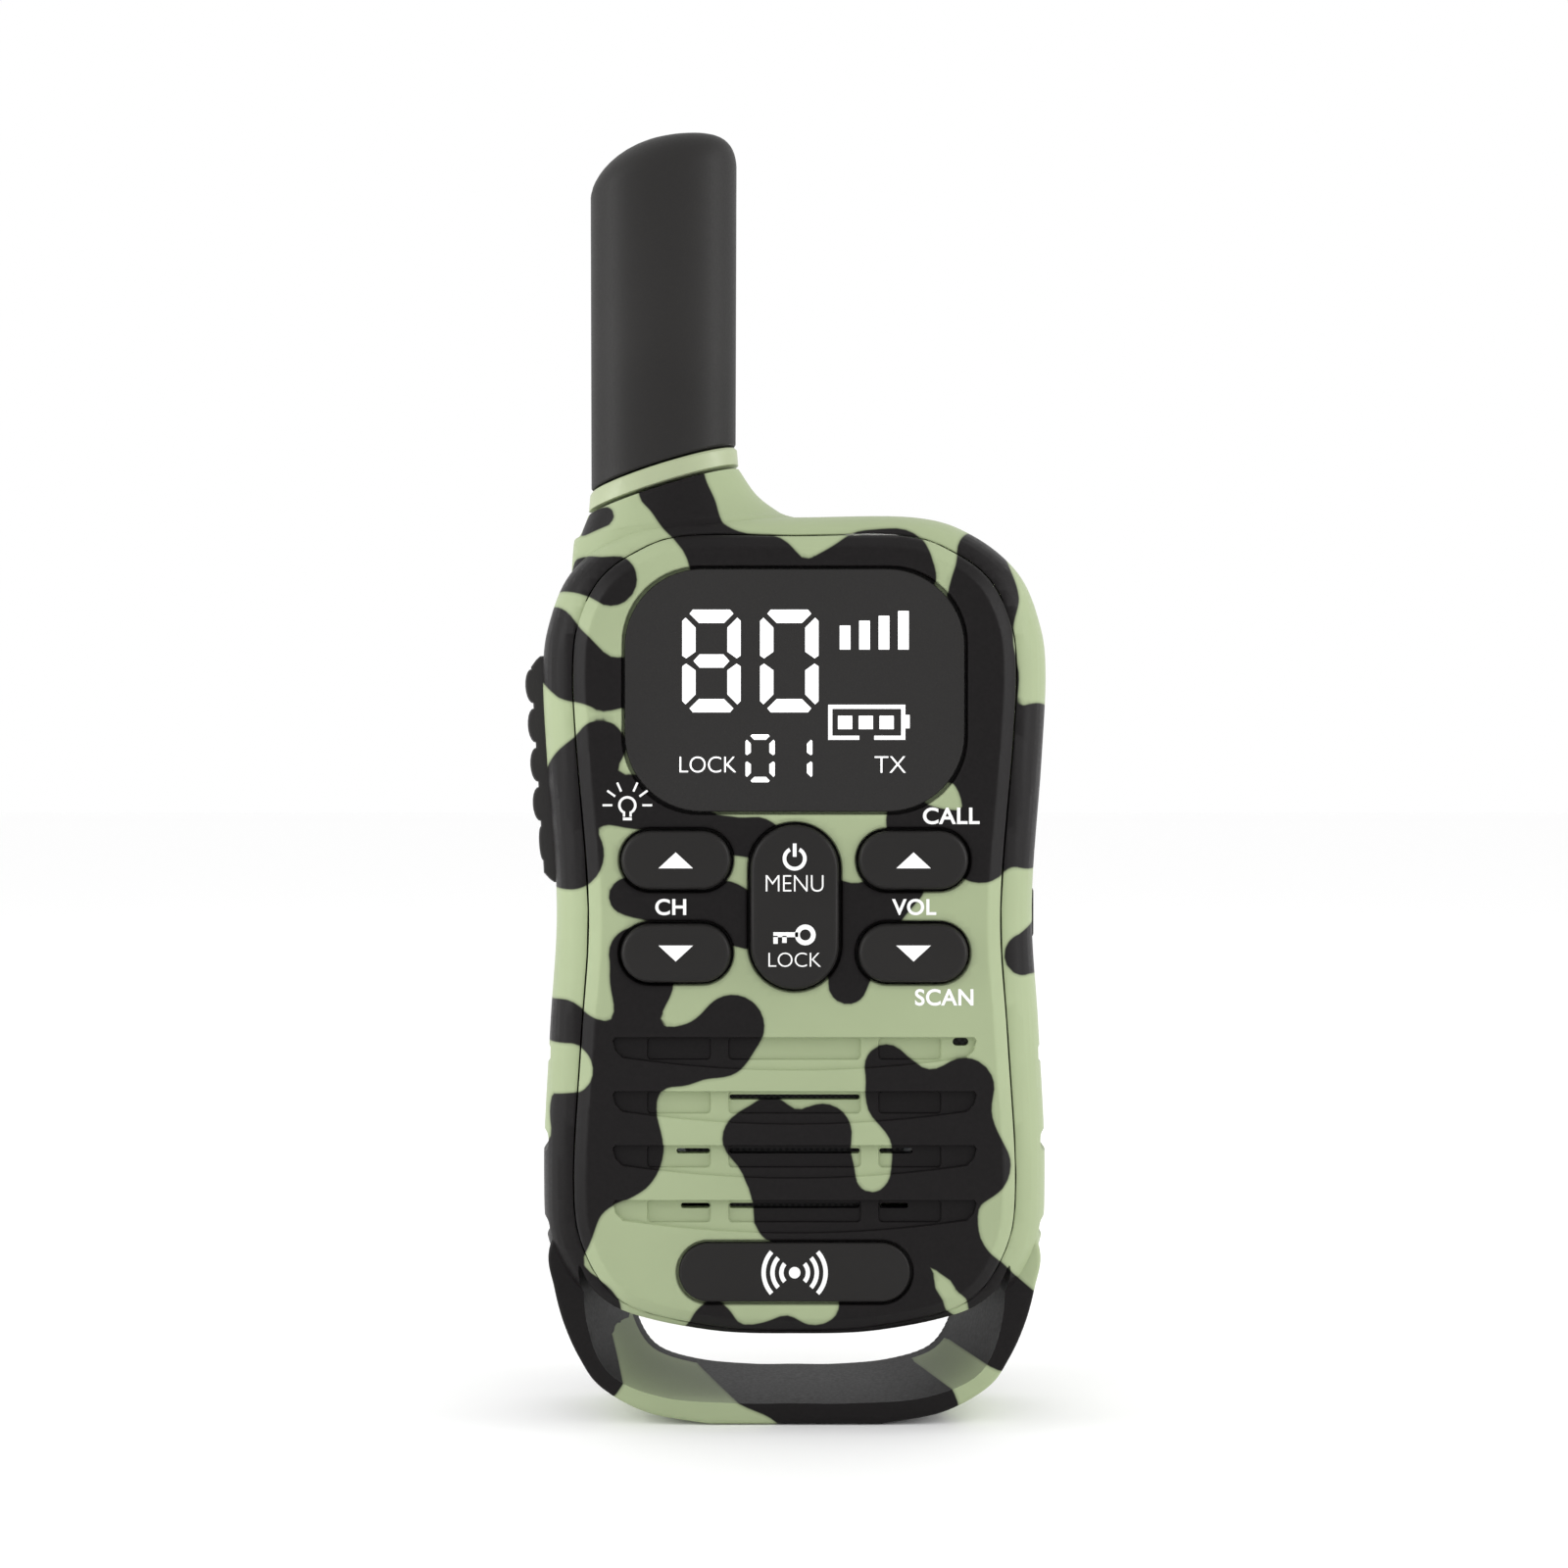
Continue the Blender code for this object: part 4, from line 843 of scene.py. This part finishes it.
def build_front_controls():
    for side, label, word in KEY_COLUMNS:
        for way, z in KEY_ROWS.items():
            node = "key_" + label + "_" + way
            key_piece(node + "_cap", KEY_SIZE, (side * KEY_X, z), word + "_" + way + "_key", node)
    key_piece("rocker_cap", ROCKER_SIZE, (0, ROCKER_Z), "centre_rocker", "menu_rocker")
    lens = depth_loft("lens", cap_stations(rounded(*LENS_SIZE, LENS_RADIUS, (0, LENS_Z)), -11.3,
                                           SCREEN_FACE_Y, 0.3))
    finish_piece(lens, "screen_window", "housing", "smoked_acrylic", replaced=["display_lens"])
    badge = depth_loft("badge", cap_stations(rounded(*BADGE_SIZE, 9, (0, BADGE_Z)), -11.7, BADGE_FACE_Y, 0.4))
    finish_piece(badge, "badge_plate", "housing", "black_plastic", replaced=["nameplate"])


# ---- printing

PRINT_HEIGHT = 0.05
BOLD = 0.02
THIN = -0.014


def flat(name, outlines, face_y, body, look, slot="white_plastic"):
    """Thin printed shapes on a face: each outline is x, z points."""
    bm = bmesh.new()
    for outline in outlines:
        front = [bm.verts.new((x, face_y - PRINT_HEIGHT, z)) for x, z in outline]
        back = [bm.verts.new((x, face_y + PRINT_HEIGHT, z)) for x, z in outline]
        bm.faces.new(front)
        bm.faces.new(back[::-1])
        for i in range(len(front)):
            k = (i + 1) % len(front)
            bm.faces.new((front[i], front[k], back[k], back[i]))
    return finish_piece(raw(name, bm), name, body, slot, look)


def lettering(name, words, centre, size, face_y, body, look, weight=0.0):
    """Generic function words in Blender's own typeface, fitted to a width and a height."""
    curve = bpy.data.curves.new(name, "FONT")
    curve.body = words
    curve.align_x = "CENTER"
    curve.extrude = PRINT_HEIGHT
    curve.offset = weight
    curve.space_character = 1 + 2 * weight
    holder = bpy.data.objects.new(name + "_type", curve)
    bpy.context.scene.collection.objects.link(holder)
    bpy.context.view_layer.update()
    ready = holder.evaluated_get(bpy.context.evaluated_depsgraph_get())
    mesh = bpy.data.meshes.new_from_object(ready)
    bpy.data.objects.remove(holder, do_unlink=True)
    lows = [min(v.co[i] for v in mesh.vertices) for i in range(2)]
    highs = [max(v.co[i] for v in mesh.vertices) for i in range(2)]
    grow = [size[i] / (highs[i] - lows[i]) for i in range(2)]
    middle = Vector(((lows[0] + highs[0]) / 2, (lows[1] + highs[1]) / 2, 0))
    mesh.transform(Matrix.Translation((centre[0], face_y, centre[1])) @ Matrix.Rotation(math.pi / 2, 4, "X")
                   @ Matrix.Diagonal((*grow, 1, 1)) @ Matrix.Translation(-middle))
    item = bpy.data.objects.new(name, mesh)
    bpy.context.scene.collection.objects.link(item)
    return finish_piece(item, name, body, "white_plastic", look)


def bar(start, end, width):
    """A straight stroke between two points."""
    along = (Vector(end) - Vector(start)).normalized() * width / 2
    across = Vector((-along.y, along.x))
    return [tuple(Vector(start) - across), tuple(Vector(end) - across), tuple(Vector(end) + across),
            tuple(Vector(start) + across)]


def arc(centre, radius, width, start, end, steps=24):
    """A curved stroke; angles in degrees from the right, counterclockwise."""
    outer = []
    inner = []
    for k in range(steps + 1):
        angle = math.radians(start + (end - start) * k / steps)
        for points, reach in ((outer, radius + width / 2), (inner, radius - width / 2)):
            points.append((centre[0] + reach * math.cos(angle), centre[1] + reach * math.sin(angle)))
    return outer + inner[::-1]


def block(low_x, low_z, high_x, high_z):
    return [(low_x, low_z), (high_x, low_z), (high_x, high_z), (low_x, high_z)]


SEGMENTS = {"8": "abcdefg", "0": "abcdef", "1": "bc"}


def digit(figure, centre, width, height, stroke, space):
    """The lit bars of one seven-segment figure, with mitred ends."""
    cx, cz = centre
    w = width / 2
    h = height / 2
    s = stroke
    g = space
    end = w - g
    cap = [(end - 0.7 * s, h), (end - 0.45 * s, h - 0.3 * s), (end - 1.15 * s, h - s)]
    middle = [(end - 1.2 * s, s / 2), (end - 0.75 * s, 0), (end - 1.2 * s, -s / 2)]
    upright = [(w, h - 0.75 * s - g), (w, 0.3 * s + g), (w - 0.3 * s, 0.1 * s + g), (w - s, 0.6 * s + g),
               (w - s, h - 1.25 * s - g), (w - 0.25 * s, h - 0.5 * s - g)]
    across = {"a": (cap, 1), "d": (cap, -1), "g": (middle, 1)}
    sides = {"b": (1, 1), "c": (1, -1), "e": (-1, -1), "f": (-1, 1)}
    bars = []
    for letter in SEGMENTS[figure]:
        if letter in across:
            half, way = across[letter]
            bars.append([(cx + x, cz + way * z) for x, z in half]
                        + [(cx - x, cz + way * z) for x, z in reversed(half)])
        else:
            side, way = sides[letter]
            bars.append([(cx + side * x, cz + way * z) for x, z in upright])
    return bars


LABELS = [
    ("label_channel", "CH", (-14.0, 59.8), (3.5, 1.85)),
    ("label_volume", "VOL", (13.5, 59.8), (5.0, 1.85)),
    ("label_call", "CALL", (17.7, 70.1), (6.4, 1.9)),
    ("label_scan", "SCAN", (16.9, 49.6), (6.6, 1.9)),
]


def print_front():
    key_face = KEY_FACE_Y
    for name, words, centre, size in LABELS:
        lettering(name, words, centre, size, FRONT_Y, "housing", PRINT_WHITE, BOLD)
    lettering("label_menu", "MENU", (0, 62.5), (6.5, 1.85), key_face, "centre_rocker", PRINT_WHITE, THIN)
    lettering("label_lock", "LOCK", (0, 53.9), (5.9, 1.6), key_face, "centre_rocker", PRINT_WHITE, THIN)
    flat("icon_power", [arc((0, 65.3), 1.15, 0.42, 118, 422), bar((0, 65.5), (0, 67.0), 0.42)], key_face,
         "centre_rocker", PRINT_WHITE)
    key_icon = [arc((1.2, 56.7), 0.9, 0.55, 0, 359.9), block(-2.4, 56.45, 0.4, 57.0),
                block(-2.4, 55.7, -1.9, 56.6),
                block(-1.4, 55.8, -0.9, 56.6)]
    flat("icon_key", key_icon, key_face, "centre_rocker", PRINT_WHITE)
    for side, label, word in KEY_COLUMNS:
        for way, turn in (("up", 1), ("down", -1)):
            x = side * KEY_X
            z = KEY_ROWS[way]
            arrow = [(x - 1.95, z - turn * 0.9), (x + 1.95, z - turn * 0.9), (x, z + turn * 0.9)]
            flat("arrow_" + label + "_" + way, [arrow], key_face, word + "_" + way + "_key", PRINT_WHITE)
    bulb_centre = Vector((-18.9, 71.3))
    bulb = [arc(bulb_centre, 0.9, 0.28, -60, 240), block(-19.4, 69.6, -18.4, 69.9),
            block(-19.4, 70.0, -19.15, 70.6), block(-18.65, 70.0, -18.4, 70.6)]
    for angle in (0, 36, 66, 114, 144, 180):
        way = Vector((math.cos(math.radians(angle)), math.sin(math.radians(angle))))
        bulb.append(bar(tuple(bulb_centre + way * 1.7), tuple(bulb_centre + way * 2.8), 0.24))
    flat("icon_lamp", bulb, FRONT_Y, "housing", PRINT_WHITE)
    waves = [rounded(1.3, 1.3, 0.65, (0, BADGE_Z), 8)]
    for start, end in ((-42, 42), (138, 222)):
        waves += [arc((0, BADGE_Z), reach, 0.5, start, end) for reach in (1.5, 2.5, 3.5)]
    flat("badge_waves", waves, BADGE_FACE_Y, "housing", PRINT_WHITE)


def print_screen():
    face = SCREEN_FACE_Y
    shapes = digit("8", (-9.4, 87.6), 6.6, 11.6, 1.5, 0.15)
    shapes += digit("0", (-0.6, 87.6), 6.6, 11.6, 1.5, 0.15)
    shapes += digit("0", (-3.9, 76.6), 3.3, 5.4, 0.6, 0.3)
    shapes += digit("1", (1.0, 76.6), 2.0, 5.4, 0.6, 0.3)
    for number in range(4):
        left = 5.1 + 2.2 * number
        shapes.append(block(left, 88.9, left + 1.2, 91.6 + 0.55 * number))
    frame_line = 0.45
    shapes += [block(3.8, 78.7, 7.3, 78.7 + frame_line), block(9.0, 78.7, 12.5, 78.7 + frame_line),
               block(3.8, 82.2, 12.5, 82.2 + frame_line), block(3.8, 79.15, 3.8 + frame_line, 82.2),
               block(12.05, 79.15, 12.5, 82.2), block(12.5, 80.0, 13.0, 81.5)]
    shapes += [block(4.9 + 2.35 * number, 79.9, 6.5 + 2.35 * number, 81.4) for number in range(3)]
    flat("screen_figures", shapes, face, "housing", SCREEN_WHITE, "lcd")
    lettering("screen_lock", "LOCK", (-9.8, 75.9), (6.4, 1.8), face, "housing", SCREEN_WHITE, THIN)
    lettering("screen_send", "TX", (10.8, 75.9), (3.5, 1.85), face, "housing", SCREEN_WHITE, THIN)


# ---- sides, lamp, back

def build_talk_button():
    """A side button with five raised ribs, drawn as a side outline and swept across its width."""
    middle_z = sum(PTT_Z) / 2
    half = (PTT_Z[1] - PTT_Z[0]) / 2
    face = PTT_FACE_X
    steps = 10
    outline = [(-26.0, middle_z + half), (-28.9, middle_z + half), (-29.4, middle_z + half - 0.4),
               (-face, middle_z + half - 1.2)]
    for number in range(5):
        centre_z = middle_z + (2 - number) * 4.6 + 0.6
        reach = 0.8 if number < 4 else 0.35
        for k in range(steps + 1):
            angle = math.pi * k / steps
            outline.append((-(face + reach * math.sin(angle)), centre_z + 2.0 * math.cos(angle)))
    outline += [(-face, middle_z - half + 1.2), (-29.4, middle_z - half + 0.4), (-28.9, middle_z - half),
                (-26.0, middle_z - half)]
    low_y, high_y = PTT_Y
    stations = [(inset(outline, 0.45), low_y), (inset(outline, 0.18), low_y + 0.15), (outline, low_y + 0.6),
                (outline, high_y - 0.6), (inset(outline, 0.18), high_y - 0.15),
                (inset(outline, 0.45), high_y)]
    button = depth_loft("button", stations, ptt_turn())
    finish_piece(button, "talk_button_cap", "talk_button", "black_rubber", replaced=["ptt_button"])


def build_socket_cover():
    outline = rounded(JACK_Y[1] - JACK_Y[0], JACK_Z[1] - JACK_Z[0], 0.5, (sum(JACK_Y) / 2, sum(JACK_Z) / 2),
                      5)
    rings = [[(x, y, z) for y, z in inset(outline, pull)]
             for x, pull in ((27.1, 0), (27.7, 0), (27.9, 0.1), (28.0, 0.35))]
    finish_piece(loft("socket", rings), "socket_cover_cap", "socket_cover", "black_rubber",
                 replaced=["jack_cover"])


def build_door():
    outline = rounded(2 * DOOR_X, DOOR_HINGE[1] - DOOR_LOW_Z, 1.2, (0, (DOOR_HINGE[1] + DOOR_LOW_Z) / 2), 6)
    door = depth_loft("door", [(outline, BACK_Y - 1.2), (outline, BACK_Y - 0.3),
                               (inset(outline, 0.1), BACK_Y - 0.1),
                               (inset(outline, 0.3), BACK_Y)])
    ridges = [box("ridge", (-8, BACK_Y - 0.4, z), (8, BACK_Y + 0.35, z + 0.8)) for z in (16.8, 18.6)]
    pivot_y, pivot_z = CLIP_PIVOT
    knuckle = cylinder("knuckle", (-DOOR_X, *DOOR_HINGE), (1, 0, 0), 1.1, 2 * DOOR_X, 32)
    ears = []
    for side in (-1, 1):
        low_x = side * EAR_X - EAR_HALF
        ears.append(cylinder("ear", (low_x, pivot_y, pivot_z), (1, 0, 0), 2.2, 2 * EAR_HALF, 40))
        ears.append(box("ear_root", (low_x, BACK_Y - 0.5, pivot_z - 3.2),
                        (low_x + 2 * EAR_HALF, pivot_y, pivot_z + 2.6)))
    join(door, knuckle, *ears, *ridges)
    cut(door, cylinder("pin_hole", (-10, pivot_y, pivot_z), (1, 0, 0), PIN_HOLE_RADIUS, 20, 32),
        box("latch_notch", (-5, BACK_Y - 0.5, DOOR_LOW_Z - 1), (5, BACK_Y + 1, DOOR_LOW_Z + 1.2)))
    gridded(door, 1.0, 50, 1.0)
    paint(door)
    finish_piece(door, "door_moulding", "door", "camo_plastic", replaced=["battery_door"])


CLIP_SPINE = [(16.8, 67.6), (17.3, 63.0), (18.0, 56.0), (18.3, 44.0), (17.9, 32.0), (15.9, 25.8),
              (14.0, 23.0),
              (14.4, 20.8), (16.2, 18.8)]


def build_clip():
    pivot_y, pivot_z = CLIP_PIVOT
    spine = smooth(CLIP_SPINE, 8, closed=False)
    half = 0.9
    rings = []
    corners = ((-1, -7.0, 0.25), (-1, -6.6, 0), (-1, 6.6, 0), (-1, 7.0, 0.25), (1, 7.0, 0.25), (1, 6.6, 0),
               (1, -6.6, 0), (1, -7.0, 0.25))
    for i, (y, z) in enumerate(spine):
        along = (Vector(spine[min(i + 1, len(spine) - 1)]) - Vector(spine[max(i - 1, 0)])).normalized()
        rings.append([(x, y - side * along.y * (half - pull), z + side * along.x * (half - pull))
                      for side, x, pull in corners])
    clip = loft("clip", rings)
    room = EAR_HALF + 0.5
    cut(clip, *(box("relief", (side * EAR_X - room, 12, pivot_z - 3.6),
                    (side * EAR_X + room, 22, pivot_z + 3.6))
                for side in (-1, 1)))
    join(clip, box("lug", (-5.4, pivot_y, pivot_z - 1.85), (1.4, 18.0, pivot_z + 1.85)),
         cylinder("barrel", (-5.4, pivot_y, pivot_z), (1, 0, 0), 1.9, 6.8, 40))
    cut(clip, cylinder("lug_hole", (-8, pivot_y, pivot_z), (1, 0, 0), PIN_HOLE_RADIUS, 16, 32))
    finish_piece(clip, "clip_moulding", "clip", "black_plastic", replaced=["belt_clip"])


def build_lamp():
    """The lamp's domed lens in the top wall."""
    profile = [(2.8, 100.4), (2.8, 102.8), (2.72, 103.3), (2.5, 103.8), (2.1, 104.2), (1.6, 104.5),
               (0.8, 104.65)]
    turns = [2 * math.pi * k / 40 for k in range(40)]
    rings = [[(LAMP_X + radius * math.cos(turn), LAMP_Y + radius * math.sin(turn), z) for turn in turns]
             for radius, z in profile]
    finish_piece(loft("lamp", rings), "lamp_lens", "housing", "clear_acrylic", replaced=["flashlight_lens"])


def build_mic_hole_shade():
    """A black disc of speaker cloth behind the microphone's hole: painted shade, so that the hole reads dark.
    """
    disc = rounded(3.2, 3.2, 1.6, MIC, 6)
    # the black disc is painted shade for the inside of the hole
    cloth = depth_loft("cloth", [(inset(disc, 0.2), -10.9), (disc, -10.75), (inset(disc, 0.2), -10.6)])
    finish_piece(cloth, "mic_hole_shade", "housing", "speaker_cloth")


def dress_cad_nodes():
    """Every CAD solid that stays gets its slot's look."""
    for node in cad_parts.values():
        if node.hide_render:
            continue
        slot = node.data.materials[0].name.split(".")[0]
        node.data.materials[0] = LOOKS[slot]
        node.data.shade_smooth()


# ---- stage

CAMERA_PLACE = Vector((-1.2, -293.5, 73.7)) * MM
CAMERA_LENS = 57.1


def build_stage():
    bm = bmesh.new()
    bmesh.ops.create_grid(bm, x_segments=1, y_segments=1, size=6.0)
    mesh = bpy.data.meshes.new("floor")
    bm.to_mesh(mesh)
    bm.free()
    floor = bpy.data.objects.new("floor", mesh)
    bpy.context.scene.collection.objects.link(floor)
    floor.location.z = -0.0001
    made, nodes, links, shader = new_material("floor_paint")
    shader.inputs["Base Color"].default_value = (0.985, 0.985, 0.985, 1)
    shader.inputs["Roughness"].default_value = 0.9
    mesh.materials.append(made)


def soft_light(name, place, size, power):
    lamp = bpy.data.lights.new(name, "AREA")
    lamp.shape = "RECTANGLE"
    lamp.size, lamp.size_y = size
    lamp.energy = power
    item = bpy.data.objects.new(name, lamp)
    item.location = place
    item.rotation_euler = (Vector((0, 0, 0.075)) - Vector(place)).to_track_quat("-Z", "Y").to_euler()
    bpy.context.scene.collection.objects.link(item)


def build_lights():
    world = bpy.data.worlds.new("studio")
    bpy.context.scene.world = world
    world.use_nodes = True
    world.node_tree.nodes["Background"].inputs["Color"].default_value = (1, 1, 1, 1)
    world.node_tree.nodes["Background"].inputs["Strength"].default_value = 1.0
    bpy.context.scene.view_settings.view_transform = "Standard"
    soft_light("front_left", (-0.5, -0.8, 0.6), (0.5, 0.5), 0.35)
    soft_light("left_strip", (-0.6, -0.1, 0.2), (0.15, 0.6), 2.0)
    soft_light("right_strip", (0.6, -0.1, 0.2), (0.15, 0.6), 2.0)


def build_camera():
    view = bpy.data.cameras.new("camera")
    view.lens = CAMERA_LENS
    view.sensor_width = 36.0
    view.clip_start = 0.01
    item = bpy.data.objects.new("camera", view)
    item.location = CAMERA_PLACE
    item.rotation_euler = (math.pi / 2, 0, 0)
    bpy.context.scene.collection.objects.link(item)
    bpy.context.scene.camera = item


def main():
    build_stage()
    build_lights()
    build_camera()
    build_rear_shell()
    build_front_cover()
    build_antenna()
    build_front_controls()
    print_front()
    print_screen()
    build_talk_button()
    build_socket_cover()
    build_door()
    build_clip()
    build_lamp()
    build_mic_hole_shade()
    dress_cad_nodes()


main()
